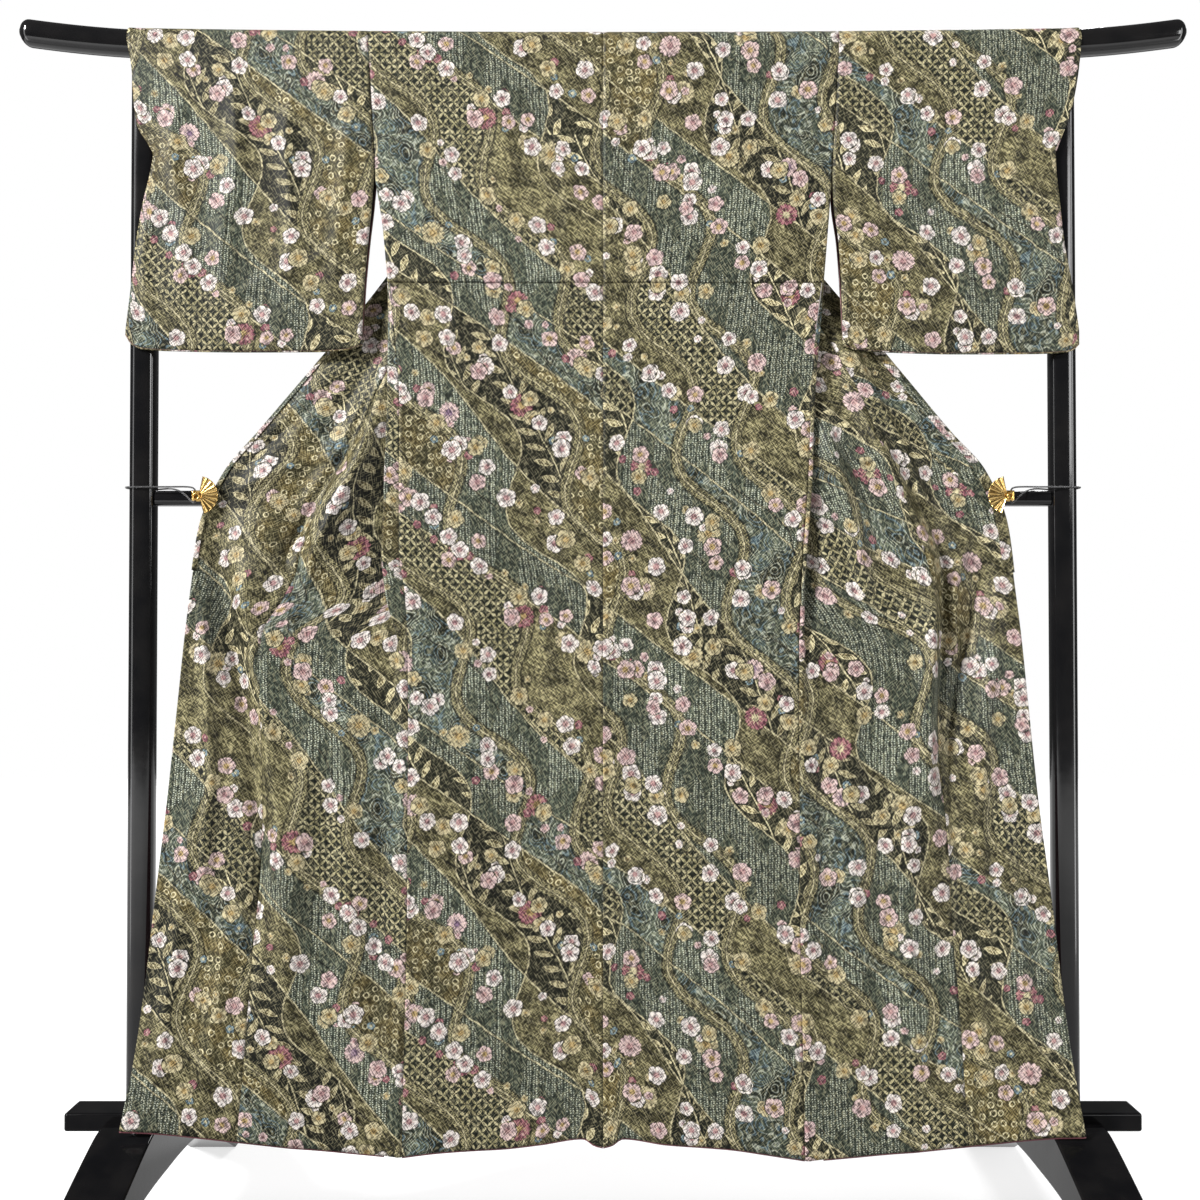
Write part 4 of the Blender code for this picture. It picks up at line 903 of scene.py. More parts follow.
def sleeve_rows(side):
    """The sleeve folded over the bar: up the viewer's layer, over, and down the far layer."""
    near, far = sleeve_layers(side)
    angle = np.linspace(180, 0, WRAP_ROWS)[1:-1, None]
    share = 1 - angle / 180
    x = near[-1:, :, 0] * (1 - share) + far[-1:, :, 0] * share
    over = joined(x, *over_bar(x, angle))
    bottom = far[:1] + (near[:1] - far[:1]) * SLEEVE_BOTTOM_STEPS
    bottom[:, :, 2] -= SLEEVE_ROUND * np.sin(np.pi * SLEEVE_BOTTOM_STEPS[:, :, 0])
    return np.concatenate([near, over, far[::-1], bottom])


def build_sleeve(side, materials):
    """The sleeve, whose rows run from the armhole to the cuff."""
    rows = seam_turned(sleeve_rows(side), flip=side < 0, last=False)
    obj = hung("sleeve_cloth", rows, side, materials, "printed_silk", "sleeve", flip=side < 0)


def moved_out(points, tangents, distance, side):
    """Points moved level, square to their row: away from the viewer where the distance is positive."""
    return points + unit(joined(-tangents[..., 1], tangents[..., 0], 0.0)) * distance * side


def lying_rows(side):
    """The outward run of each cross-section, with x rising, for what lies on the fronts."""
    z = front_levels(side)
    sections = front_sections(side, z) * [side, 1, 1]
    return sections[:, OUTWARD_START:]


def depth_at(runs, x, z):
    """How far back the fronts' outward run lies at one place."""
    depths, heights = (np.array([np.interp(x, run[:, 0], run[:, axis]) for run in runs])
                       for axis in (1, 2))
    order = np.argsort(heights)
    return np.interp(z, heights[order], depths[order])


def collar_rows(side):
    """Half the collar: a band from the middle of the neck over the far side of the front edge.

    From each place on the edge it runs straight inward and down at its slant, a step behind the
    front, whose depth is read at each point.
    """
    runs = lying_rows(side)[::4]
    across = np.linspace(0, 1, COLLAR_COLUMNS)
    rows = []
    for x, z, y in COLLAR_NECK:
        rows.append(joined(side * max(x, SEAM_HALF), y, z - COLLAR_WIDTH_NECK * across))
    for run in runs:
        edge_x, edge_y, edge_z = run[-1]
        if edge_z < COLLAR_END_Z:
            break
        down = math.radians(float(read(COLLAR_SLANT, "angle", edge_z)))
        heights, widths = [COLLAR_END_Z, COLLAR_START_Z], [COLLAR_WIDTH_END, COLLAR_WIDTH_NECK]
        width = float(np.interp(edge_z, heights, widths))
        x = edge_x - width * across * math.cos(down)
        z = edge_z - width * across * math.sin(down)
        y = np.array([depth_at(runs, px, pz) for px, pz in zip(x, z)])
        y = np.maximum(y, edge_y) + COLLAR_STEP
        rows.append(joined(side * x, y, z))
    return np.array(rows)


def build_collar(side, materials):
    """Half of the collar's band."""
    obj = hung("collar_band", collar_rows(side), side, materials, "collar_silk", "collar")


def build_collar_fold(side, materials):
    """The narrow fold of the collar over the front edge, on the viewer's side."""
    levels = front_levels(side)
    sections = front_sections(side, levels)
    shown = (levels <= SLIT_END_Z) & (sections[:, -1, 2] >= COLLAR_END_Z)
    sections = sections[shown]
    whole = along(sections)[:, -1]
    near = points_between(sections, whole - COLLAR_FOLD[word_of(side)], whole - COLLAR_FOLD_GAP,
                          COLLAR_FOLD_COLUMNS)
    tangents = np.gradient(near, axis=1)
    ahead = unit(tangents[:, -1])
    level = unit(joined(-ahead[:, 1], ahead[:, 0], 0.0)) * side
    front = moved_out(near, tangents, -LAYER_STEP, side)
    turn = COLLAR_FOLD_ROUND[None, :, None]
    round_edge = (ahead[:, None] * np.cos(turn) + level[:, None] * np.sin(turn)) * LAYER_STEP
    rows = np.concatenate([front, near[:, -1:] + round_edge], axis=1)
    obj = hung("collar_fold_cloth", rows, side, materials, "collar_silk", "collar_fold",
               wall=COLLAR_FOLD_WALL)


def evenly_along(path, count):
    """Points at equal distances along a path."""
    part = along(path)
    return points_at(path, np.linspace(0, part[-1], count), part)


def build_facing(end, side, hem, above, count, materials):
    """A strip of hem facing on the far side of a panel, with a rolled lower edge below the hem.

    Each row is the hem moved by a height along the line towards the row above it, and out by a step.
    """
    hem, above = evenly_along(hem, count), evenly_along(above, count)
    rise = np.maximum(above[:, 2] - hem[:, 2], 0.01)[:, None]
    rows = []
    for height in FACING_LEVELS:
        row = hem + (above - hem) * (height / rise)
        rows.append(moved_out(row, np.gradient(row, axis=0), FACING_STEP, side))
    rows = np.array(rows)
    obj = hung(end + "_hem_facing", rows, side, materials, "rose_silk", end + "_facing")


# The clips and cords.


def build_fan(side, materials):
    """A pleated fan of sheet metal, opening from the clip's hub towards the cloth.

    Depth is a rounded zigzag in the angle, growing with the distance from the hub.
    """
    steps = FAN_PLEATS * FAN_PLEAT_STEPS
    angle = np.radians(np.linspace(FAN_BOTTOM_ANGLE, FAN_TOP_ANGLE, steps + 1))[None]
    radius = np.linspace(FAN_HUB_RADIUS * 0.6, FAN_RADIUS, FAN_RAYS)[:, None]
    phase = np.linspace(0, FAN_PLEATS, steps + 1)[None]
    zigzag = 1 - 4 * np.abs(phase % 1 - 0.5)
    pleat = np.tanh(2.2 * zigzag) * FAN_PLEAT_DEPTH * radius / FAN_RADIUS
    scallop = 1 - FAN_SCALLOP * np.abs(np.sin(np.pi * phase)) * (radius / FAN_RADIUS) ** 6
    reach = radius * scallop
    x, z = side * (CLIP_HUB_X - reach * np.cos(angle)), CLIP_HUB_Z + reach * np.sin(angle)
    name = "fan_plate_" + word_of(side)
    obj = grid_object(name, joined(x, FAN_Y + pleat, z), phase, radius, materials, flip=side > 0)
    ride_root(thickened(obj, FAN_WALL), "gold", "clip_fan_" + word_of(side))


def build_jaw(side, materials):
    """The spring clip behind the fan: a plate bent round the cloth's edge, with rounded edges."""
    x, y = rounded_path(JAW_ROUTE, 40).T
    heights = np.linspace(-JAW_HALF_HEIGHT, JAW_HALF_HEIGHT, 5)[:, None]
    rows = joined(side * x, y, CLIP_HUB_Z + heights)
    obj = grid_object("jaw_plate_" + word_of(side), rows, along(rows), heights, materials, flip=side > 0)
    ride_root(thickened(obj, JAW_WALL), "gold", "clip_jaw_" + word_of(side))


def build_hub_ring(side, materials):
    """The small curled ring that holds the fan's sticks together at the hub."""
    angle = np.linspace(0, 2 * np.pi, 40, endpoint=False)
    x = side * (CLIP_HUB_X + HUB_RING_OUT + HUB_RING_RADIUS * np.cos(angle))
    z = CLIP_HUB_Z - HUB_RING_DROP + HUB_RING_RADIUS * np.sin(angle)
    path = joined(x, FAN_Y - HUB_RING_STAND, z)
    obj = closed_ring("hub_ring_" + word_of(side), path, HUB_RING_WIRE, CORD_SIDES, materials)
    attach(obj, "root")


def closed_spline(points, steps):
    """A smooth closed curve that passes close to the points: the uniform cubic B-spline."""
    count = len(points)
    t = np.linspace(0, count, count * steps, endpoint=False)
    i = t.astype(int)
    t = (t - i)[:, None]
    weights = ((1 - t) ** 3, 3 * t ** 3 - 6 * t ** 2 + 4, -3 * t ** 3 + 3 * t ** 2 + 3 * t + 1, t ** 3)
    return sum(w * points[(i + k) % count] for k, w in enumerate(weights)) / 6


def closed_ring(name, path, radius, sides, materials):
    """A tube round a closed path: a circle square to the path at each of its points."""
    tangent = unit(np.roll(path, -1, axis=0) - np.roll(path, 1, axis=0))
    first = unit(np.cross(tangent, ASKEW))
    second = np.cross(tangent, first)
    angle = np.linspace(0, 2 * np.pi, sides + 1)[None, :, None]
    rings = path[:, None] + (first[:, None] * np.cos(angle) + second[:, None] * np.sin(angle)) * radius
    rings = np.concatenate([rings, rings[:1]])
    obj = grid_object(name, rings, np.linspace(0, 1, sides + 1), along(rings[:, 0])[:, None], materials)
    return modified(obj, "Close", "WELD", merge_threshold=radius * 0.02)


def build_elastic(side, materials):
    """An elastic cord threaded through the clip and looped round the post, just above the rail."""
    path = closed_spline(np.array(ELASTIC_ROUTE) * [side, 1, 1], 14)
    obj = closed_ring("elastic_cord_" + word_of(side), path, CORD_RADIUS, CORD_SIDES, materials)
    ride_root(obj, "elastic", "elastic_" + word_of(side))


# The stand's surfaces.


def round_section(half_width, half_height, sides, power):
    """Points round a section between an ellipse, at power 2, and a rectangle.

    Cosine and sine of even angles, each to the power two over the section's power with its sign kept.
    """
    angle = np.linspace(0, 2 * np.pi, sides, endpoint=False)
    across = np.sign(np.cos(angle)) * np.abs(np.cos(angle)) ** (2 / power)
    up = np.sign(np.sin(angle)) * np.abs(np.sin(angle)) ** (2 / power)
    return half_width * across, half_height * up


def closed_tube(name, rings, materials, node):
    """A solid through rings of points, closed at its ends."""
    count, sides = rings.shape[:2]
    index = np.arange(count * sides).reshape(count, sides)
    following = np.roll(index, -1, axis=1)
    faces = np.stack([index[:-1], following[:-1], following[1:], index[1:]], axis=-1)
    faces = faces.reshape(-1, 4).tolist()
    faces.append(index[0][::-1].tolist())
    faces.append(index[-1].tolist())
    mesh = bpy.data.meshes.new(name)
    mesh.from_pydata(rings.reshape(-1, 3).tolist(), [], faces)
    mesh.shade_smooth()
    mesh.set_sharp_from_angle(angle=SHARP_ANGLE)
    return ride_root(make_object(name, mesh, materials), "black_lacquer", node)


def bevelled(obj, width, segments):
    """The object with its sharp edges rounded over a width."""
    return modified(obj, "Edge", "BEVEL", width=width, segments=segments, limit_method="ANGLE",
                    angle_limit=BEVEL_ANGLE)


def build_bar(materials):
    """The top bar, whose section narrows to a round at each tip."""
    straight = np.linspace(0, BAR_TIP_START, 24)
    body = np.concatenate([straight, np.linspace(BAR_TIP_START, BAR_HALF_LENGTH, 24)[1:-1]])
    tip = BAR_HALF_LENGTH - BAR_ROUND_END * (1 - np.sin(np.linspace(0, np.pi / 2, 12)))
    half = np.concatenate([body[body < tip[0] - 0.002], tip])
    x = np.concatenate([-half[::-1], half[1:]])
    from_tip = np.clip((np.abs(x) - tip[0]) / BAR_ROUND_END, 0, 1)
    size = np.maximum(np.sqrt(1 - from_tip ** 2), BAR_TIP_LEAST)
    across, up = round_section(BAR_HALF_DEPTH, BAR_HALF_HEIGHT, BAR_SIDES, BAR_POWER)
    rings = joined(x[:, None], across * size[:, None], bar_centre(x)[:, None] + up * size[:, None])
    closed_tube("lacquered_bar", rings, materials, "top_bar")


def build_post(side, materials):
    """A post from the base plank up to the bar."""
    top = bar_centre(POST_X) - BAR_HALF_HEIGHT - JOINT_GAP
    bottom = PLANK_BOTTOM_Z + PLANK_HEIGHT + JOINT_GAP
    across, deep = round_section(POST_HALF_WIDTH, POST_HALF_DEPTH, POST_SIDES, POST_POWER)
    rings = joined(side * POST_X + across, deep, np.linspace(bottom, top, 12)[:, None])
    closed_tube("lacquered_post_" + word_of(side), rings, materials, "post_" + word_of(side))


def build_rail(materials):
    """The mid rail between the posts."""
    half_length = POST_X - POST_HALF_WIDTH - JOINT_GAP
    across, up = round_section(RAIL_HALF_DEPTH, RAIL_HALF_HEIGHT, RAIL_SIDES, RAIL_POWER)
    rings = joined(np.linspace(-half_length, half_length, 12)[:, None], across, RAIL_Z + up)
    closed_tube("lacquered_rail", rings, materials, "mid_rail")


def build_plank(materials):
    """The base plank between and beyond the posts."""
    x, y = PLANK_HALF_LENGTH, PLANK_HALF_DEPTH
    low, high = PLANK_BOTTOM_Z, PLANK_BOTTOM_Z + PLANK_HEIGHT
    rings = joined([[-x], [x]], [y, y, -y, -y], [low, high, high, low])
    bevelled(closed_tube("lacquered_plank", rings, materials, "base_plank"), PLANK_EDGE, 4)


def build_foot(side, materials):
    """An arch from front to back, with a shallow notch in its crown that takes the base plank."""
    notch = [(PLANK_HALF_DEPTH + JOINT_GAP, PLANK_BOTTOM_Z - JOINT_GAP)]
    top, under = rounded_path(FOOT_TOP, 60), rounded_path(FOOT_UNDER, 40)[::-1]
    half = np.concatenate([notch, top, under])
    outline = np.concatenate([half, half[::-1][1:] * [-1, 1]])
    x = side * POST_X + np.array([[FOOT_HALF_WIDTH], [-FOOT_HALF_WIDTH]])
    rings = joined(x, outline[:, 0], outline[:, 1])
    obj = closed_tube("lacquered_foot_" + word_of(side), rings, materials, "foot_" + word_of(side))
    bevelled(obj, FOOT_EDGE, 3)


# Finishes: patterns written as arithmetic on the wires between a material's nodes.


def feed(entry, value):
    """Set a socket to a number or colour, or link it to a wire."""
    if isinstance(value, Wire):
        value.tree.links.new(value.socket, entry)
    elif isinstance(value, tuple) and len(value) == 3 and len(entry.default_value) == 4:
        entry.default_value = (*value, 1.0)
    else:
        entry.default_value = value


def added(tree, kind, entries, **settings):
    """A new node of a kind, with its settings and a number, colour or wire on each entry named."""
    node = settled(tree.nodes.new("ShaderNode" + kind), settings)
    for entry, value in entries.items():
        feed(node.inputs[entry], value)
    return node


def step(operation):
    """A way to put one step of arithmetic after a wire."""
    return lambda wire, *others: wire.through(operation, *others)


class Wire:
    """A number, place or colour that one of a material's nodes gives out."""

    __add__ = step("ADD")
    __sub__ = step("SUBTRACT")
    __mul__ = step("MULTIPLY")
    __truediv__ = step("DIVIDE")
    __gt__ = step("GREATER_THAN")
    __lt__ = step("LESS_THAN")
    __abs__ = step("ABSOLUTE")
    times_plus = step("MULTIPLY_ADD")
    part = step("FRACT")
    whole = step("FLOOR")
    remainder = step("FLOORED_MODULO")
    sine = step("SINE")
    cosine = step("COSINE")
    least = step("MINIMUM")
    most = step("MAXIMUM")

    def __init__(self, node, output=0):
        """The wire from one of the node's outputs."""
        self.socket = node.outputs[output]
        self.tree = node.id_data

    def through(self, operation, *others):
        """The wire after one step of arithmetic."""
        return Wire(added(self.tree, "Math", dict(enumerate((self, *others))), operation=operation))

    def __rsub__(self, other):
        """A number less the wire."""
        return self.times_plus(-1.0, other)

    def rise(self, low, high):
        """0 below low, 1 above high, smooth between; the other way round where low is above high."""
        entries = {"Value": self, "From Min": low, "From Max": high}
        return Wire(added(self.tree, "MapRange", entries, interpolation_type="SMOOTHSTEP"))


def length_of(x, y):
    """The square root of the sum of two squares."""
    return x.times_plus(x, y * y).through("SQRT")


def point(x, y, z=0.0):
    """A place from its three numbers, the first of them a wire."""
    return Wire(added(x.tree, "CombineXYZ", {0: x, 1: y, 2: z}))


def parts_of(place):
    """The three numbers of a place or colour."""
    node = added(place.tree, "SeparateXYZ", {0: place})
    return [Wire(node, axis) for axis in range(3)]


def cloudy(place, scale=1.0, detail=0.0, dimensions="3D"):
    """Smooth noise from 0 to 1."""
    entries = {"Vector": place, "Scale": scale, "Detail": detail}
    return Wire(added(place.tree, "TexNoise", entries, noise_dimensions=dimensions))


def patchy(across, down, scale=1.0, detail=0.0):
    """Smooth noise over the cloth, from 0 to 1."""
    return cloudy(point(across, down), scale, detail, "2D")


def chance(place):
    """A random number for each place, and three more."""
    node = added(place.tree, "TexWhiteNoise", {"Vector": place})
    return Wire(node), parts_of(Wire(node, 1))


def mixed(share, first, second):
    """First colour where the share is 0, second where it is 1."""
    return Wire(added(share.tree, "Mix", {"Factor": share, 6: first, 7: second}, data_type="RGBA"), 2)


def lightened(colour, factor):
    """A colour times a number."""
    return Wire(added(colour.tree, "VectorMath", {0: colour, "Scale": factor}, operation="SCALE"))


def stepped(value, colours):
    """The colours one after the other in even steps, as the value runs from 0 to 1."""
    node = added(value.tree, "ValToRGB", {0: value})
    node.color_ramp.interpolation = "CONSTANT"
    elements = node.color_ramp.elements
    for place, colour in enumerate(colours):
        start = place / len(colours)
        stop = elements[place] if place < 2 else elements.new(start)
        stop.position = start
        stop.color = (*colour, 1.0)
    return Wire(node)


# The silk's print.


def ink(red, green, blue):
    """Linear colour of a screen colour given out of 255."""
    share = np.array([red, green, blue]) / 255
    linear = np.where(share <= 0.04045, share / 12.92, ((share + 0.055) / 1.055) ** 2.4)
    return tuple(float(value) for value in linear)


# The length after which the print comes again, a whole turn, and a place that no flower reaches. Then
# the colours of the print, the rose silk, the lining and the gilt brass.
REPEAT = 0.72
TURN = 2 * math.pi
FAR_OFF = 9.0
GREY_GREEN = ink(96, 106, 92)
DEEP_GREEN = ink(36, 40, 30)
DARK_OLIVE = ink(44, 42, 28)
OLIVE = ink(90, 85, 56)
KHAKI = ink(156, 148, 110)
GOLD_OLIVE = ink(124, 110, 68)
CREAM = ink(204, 194, 156)
PALE_DOT = ink(190, 196, 180)
BRANCH_BLACK = ink(26, 24, 22)
WHITE_PETAL = ink(240, 231, 225)
PINK_PETAL = ink(222, 194, 192)
CREAM_PETAL = ink(198, 186, 148)
PINK_HEART = ink(180, 138, 140)
OCHRE_HEART = ink(174, 148, 98)
CRIMSON = ink(160, 100, 112)
DUSTY_BLUE = ink(118, 144, 156)
MAUVE = ink(138, 112, 138)
ROSE = ink(150, 84, 92)
DEEP_ROSE = ink(122, 62, 72)
LINING_ROSE = ink(148, 86, 94)
LINING_DEEP_ROSE = ink(136, 76, 86)
LINING_BROWN = ink(136, 128, 126)
LINING_DEEP_BROWN = ink(122, 114, 112)
GILT = ink(232, 196, 118)
WORN_GILT = ink(176, 132, 58)
FAN_GILT = ink(232, 200, 132)
WORN_FAN_GILT = ink(196, 158, 92)
# A painted shade for the gilt in the fan's pleats.
PLEAT_PAINTED_SHADE = ink(70, 50, 22)

# The flowers' lattices, the lowest first: the side of a cell, a seed, how crowded it is and the flowers'
# radius, then the petals' and hearts' colours, of which each flower takes one by chance.
BLOOMS = [
    (0.090, 2.0, 0.72, 0.0165, (PINK_PETAL, PINK_PETAL, CREAM_PETAL, CRIMSON, CRIMSON),
     (MAUVE, PINK_HEART, OCHRE_HEART, OCHRE_HEART, CREAM)),
    (0.024, 13.0, 0.44, 0.0062, (WHITE_PETAL, CREAM_PETAL, CRIMSON, DUSTY_BLUE, PINK_PETAL),
     (PINK_PETAL, OCHRE_HEART, PINK_HEART, CREAM, PINK_HEART)),
    (0.036, 5.0, 0.86, 0.0128, (WHITE_PETAL, WHITE_PETAL, CREAM_PETAL, CREAM_PETAL, PINK_PETAL),
     (PINK_HEART, PINK_HEART, OCHRE_HEART, OCHRE_HEART, OCHRE_HEART)),
    (0.040, 9.0, 0.76, 0.0132, (WHITE_PETAL, WHITE_PETAL, CREAM_PETAL, PINK_PETAL, PINK_PETAL),
     (PINK_HEART, PINK_HEART, OCHRE_HEART, PINK_HEART, OCHRE_HEART)),
]


def band_family(across, down, per_repeat, lean, swing, waves, slant, start):
    """Wandering bands that come again with the repeat.

    A band's number is per_repeat bands a repeat down the cloth plus lean bands a metre across it, plus
    swing times the sine of so many waves a repeat down and slant radians a metre across. Returned with
    it is the distance to the nearest edge: how far the number is from a whole one, over its slope.
    """
    pace = TURN * waves / REPEAT
    turn = down * pace + across * slant + start
    number = down * (per_repeat / REPEAT) + across * lean + turn.sine() * swing
    bend = turn.cosine() * swing
    slope = length_of(bend * pace + per_repeat / REPEAT, bend * slant + lean)
    return number, abs((number + 0.5).part() - 0.5) / slope


def turned(across, down, degrees):
    """The two coordinates turned by an angle."""
    cosine, sine = math.cos(math.radians(degrees)), math.sin(math.radians(degrees))
    return across * cosine + down * sine, down * cosine - across * sine


def in_lane(place, width):
    """How far a place is from the middle of its lane, where lanes of one width lie side by side."""
    return ((place / width).part() - 0.5) * width


def strokes(across, down, degrees, width, length):
    """Short brush or needle strokes side by side: noise that is stretched along one direction."""
    over, onward = turned(across, down, degrees)
    return patchy(over * (1 / width), onward * (1 / length))


def willow(across, down, tone, hatch):
    """Upright dark lines with rows of pale dots between them, in groups."""
    pitch, dot_pitch = 0.0088, 0.0032
    lane = across / pitch
    out = abs((lane.part() - 0.5) * pitch)
    luck, _ = chance(point(lane.whole(), 3.0))
    line = out.rise(0.0006, 0.0003) * (luck > 0.25)
    dot_y = ((down / dot_pitch + luck * 5.0).part() - 0.5) * dot_pitch
    group = patchy(across * 40.0, down * 14.0) > 0.46
    dots = length_of(out - 0.0026, dot_y).rise(0.0012, 0.0006) * group
    ground = mixed(strokes(across, down, 4, 0.0012, 0.016), DEEP_GREEN, GREY_GREEN)
    return mixed(dots, mixed(line * 0.75, ground, DEEP_GREEN), PALE_DOT)


def grass(across, down, tone, hatch):
    """Dry grass: slanting strokes of khaki over dark olive."""
    first = strokes(across, down, 62, 0.0019, 0.030)
    second = strokes(across, down, 38, 0.0019, 0.034)
    blade = (first * 0.6 + second * 0.4).rise(0.39, 0.61)
    return mixed(blade, mixed(tone, DARK_OLIVE, OLIVE), mixed(tone, OLIVE, KHAKI))


def linked_circles(across, down, tone, hatch):
    """Linked circles: lens petals where circles round the corners of a slanted lattice overlap.

    In a cell one unit wide the circles' radius is half a diagonal, and a lens is what lies within it
    of both corners of an edge. A small diamond fills each cell's middle.
    """
    cell = 0.0112
    x, y = (abs((place / cell).part() - 0.5) for place in turned(across, down, 45))
    lens = length_of(x + 0.5, 0.5 - y).least(length_of(0.5 - x, y + 0.5))
    petal = lens.rise(0.70, 0.63)
    diamond = (x + y).rise(0.15, 0.10)
    return mixed(petal.most(diamond * 0.8), DEEP_GREEN, mixed(tone * 0.6, KHAKI, CREAM))


def leaf_sprays(across, down, tone, hatch):
    """Stems with pairs of leaves on a deep green ground.

    A leaf is where the distance across its own axis is under its half width times one less the square
    of the place along it. The leaves come again at a pitch along the stem, and mirror across it.
    """
    lane, pitch, half_length, half_width = 0.066, 0.0250, 0.0150, 0.0050
    over, onward = turned(across, down, 24)
    side_way = in_lane(over, lane) + (onward * 26.0).sine() * 0.0040
    out = abs(side_way)
    shift = (side_way > 0.0) * 0.5
    up = ((onward / pitch + shift).part() - 0.5) * pitch
    length_way, cross_way = turned(out - 0.0140, up, 40)
    place = length_way / half_length
    inside = (1.0 - place * place) * half_width - abs(cross_way)
    leaf = inside.rise(0.0, 0.0003)
    outline = inside.rise(0.0015, 0.0008)
    vein = abs(cross_way).rise(0.0009, 0.0004)
    leaf_colour = mixed(outline.most(vein).most(hatch.rise(0.37, 0.63) * 0.8), GOLD_OLIVE, CREAM)
    stem = out.rise(0.0013, 0.0007)
    ground = mixed(hatch, DEEP_GREEN, DARK_OLIVE)
    return mixed(stem, mixed(leaf, ground, leaf_colour), CREAM)


def ripples(across, down, tone, hatch):
    """Fine curling lines: contour lines of a smooth noise."""
    height = patchy(across, down, 26.0, 1.0)
    line = abs((height * 11.0).part() - 0.5).rise(0.20, 0.10)
    ground = mixed(height.rise(0.3, 0.7), DEEP_GREEN, GREY_GREEN)
    return mixed(line * 0.6, ground, mixed(tone.rise(0.45, 0.65), PALE_DOT, DUSTY_BLUE))


def gold_field(across, down, tone, hatch):
    """Gold-olive ground under crossed fine lines, with small ring flowers."""
    mesh_width, ring_radius = 0.0034, 0.0036
    one, other = (abs((place / mesh_width).part() - 0.5) for place in turned(across, down, 50))
    net = one.least(other).rise(0.16, 0.06)
    ground = mixed(net * 0.55, mixed(tone, OLIVE, GOLD_OLIVE), DARK_OLIVE)
    middle_x, middle_y, luck, _ = scattered(across, down, 0.0144, 21.0)
    from_ring = abs(length_of(across - middle_x, down - middle_y) - ring_radius)
    return mixed(from_ring.rise(0.0012, 0.0006) * (luck < 0.7), ground, CREAM)


def scattered(across, down, cell, seed):
    """A place strayed from the middle of the lattice cell that a point is in, and two random numbers."""
    stray = 0.48
    column, row = (across / cell).whole(), (down / cell).whole()
    luck, numbers = chance(point(column, row, seed))
    middle_x = numbers[0].times_plus(stray, column).times_plus(cell, (1 - stray) / 2 * cell)
    middle_y = numbers[1].times_plus(stray, row).times_plus(cell, (1 - stray) / 2 * cell)
    return middle_x, middle_y, luck, numbers[2]


def bloom_over(chosen, across, down, layer):
    """Where a lattice has a flower over a point, that flower takes the place of the one chosen so far.

    What is chosen is the point's two coordinates from the flower's middle as shares of its reach, and
    its tint from 0 to 1. Flowers gather in slanting drifts: how likely one is goes with the square of
    a sine wave at its middle.
    """
    cell, seed, density, radius = BLOOMS[layer][:4]
    middle_x, middle_y, luck, size = scattered(across, down, cell, seed)
    drift = middle_x.times_plus(TURN * 6.5, middle_y * (TURN * 5 / REPEAT)).sine().times_plus(0.5, 0.5)
    here = luck < drift * drift * density
    reach = size.times_plus(0.30 * radius, 0.80 * radius)
    x, y = (across - middle_x) / reach, (down - middle_y) / reach
    inside = x.times_plus(x, y * y) < 1.12
    tint = (luck * 61.0).part().times_plus(1 / len(BLOOMS), layer / len(BLOOMS))
    return mixed(here * inside, chosen, point(x, y, tint))


def flowers(under, across, down):
    """Small round flowers laid on what is under them, fourteen petals on the lowest lattice, else five.

    A flower's edge is 0.78 of its reach, and 0.22 more where the cosine of its lobes is largest. It is
    paler outward, has thin dark lines between the petals, a rayed heart, and a dark line all round.
    """
    chosen = Wire(added(across.tree, "CombineXYZ", {0: FAR_OFF, 1: FAR_OFF}))
    for layer in range(len(BLOOMS)):
        chosen = bloom_over(chosen, across, down, layer)
    x, y, tint = parts_of(chosen)
    away = length_of(x, y)
    angle = y.through("ARCTAN2", x) + tint * (TURN * 40)
    half_petals = (tint < 1 / len(BLOOMS)).times_plus(4.5, 2.5)
    lobes = abs((angle * half_petals).cosine())
    inside = lobes.through("POWER", 0.5).times_plus(0.22, 0.78) - away
    petal, heart = (stepped(tint, [colour for bloom in BLOOMS for colour in bloom[place]])
                    for place in (4, 5))
    gap = lobes.rise(0.26, 0.10) * away.rise(0.30, 0.45)
    petal = lightened(petal, (away.rise(0.2, 0.95) * 0.30 + 0.72) * (1.0 - gap * 0.42))
    rays = (angle * 9.0).cosine().rise(0.2, 0.9) * away.rise(0.70, 0.42) * 0.7
    petal = mixed(rays.most(away.rise(0.36, 0.27)), petal, heart)
    under = lightened(under, 1.0 - (inside + 0.10).rise(-0.02, 0.05) * 0.55)
    return mixed(inside.rise(-0.05, 0.08), under, petal)


def branches(under, across, down):
    """Thin black branches that wander along the flowers' drifts and come and go."""
    _, from_middle = band_family(across, down, 5, 6.5, 0.09, 7, 11.0, 1.0)
    broken = patchy(across, down, 9.0).rise(0.50, 0.54)
    return mixed(from_middle.rise(0.0012, 0.0007) * broken * 0.85, under, BRANCH_BLACK)


def fern_strip(under, number, from_edge, down):
    """A chain of small loops on each side of some band edges."""
    luck, _ = chance(point((number + 0.5).whole().remainder(3.0), 8.0))
    up = in_lane(down, 0.0052)
    loop = abs(length_of(from_edge - 0.0042, up) - 0.0019).rise(0.0009, 0.0004)
    strip = (luck > 0.35) * from_edge.rise(0.0095, 0.0088)
    return mixed(loop * strip, mixed(strip * 0.8, under, DARK_OLIVE), KHAKI)


# The fills that lie on the willow, each where a patch's random number is above the one beside it.
FILLS = (
    (0.24, grass),
    (0.42, linked_circles),
    (0.54, leaf_sprays),
    (0.72, ripples),
    (0.86, gold_field),
)


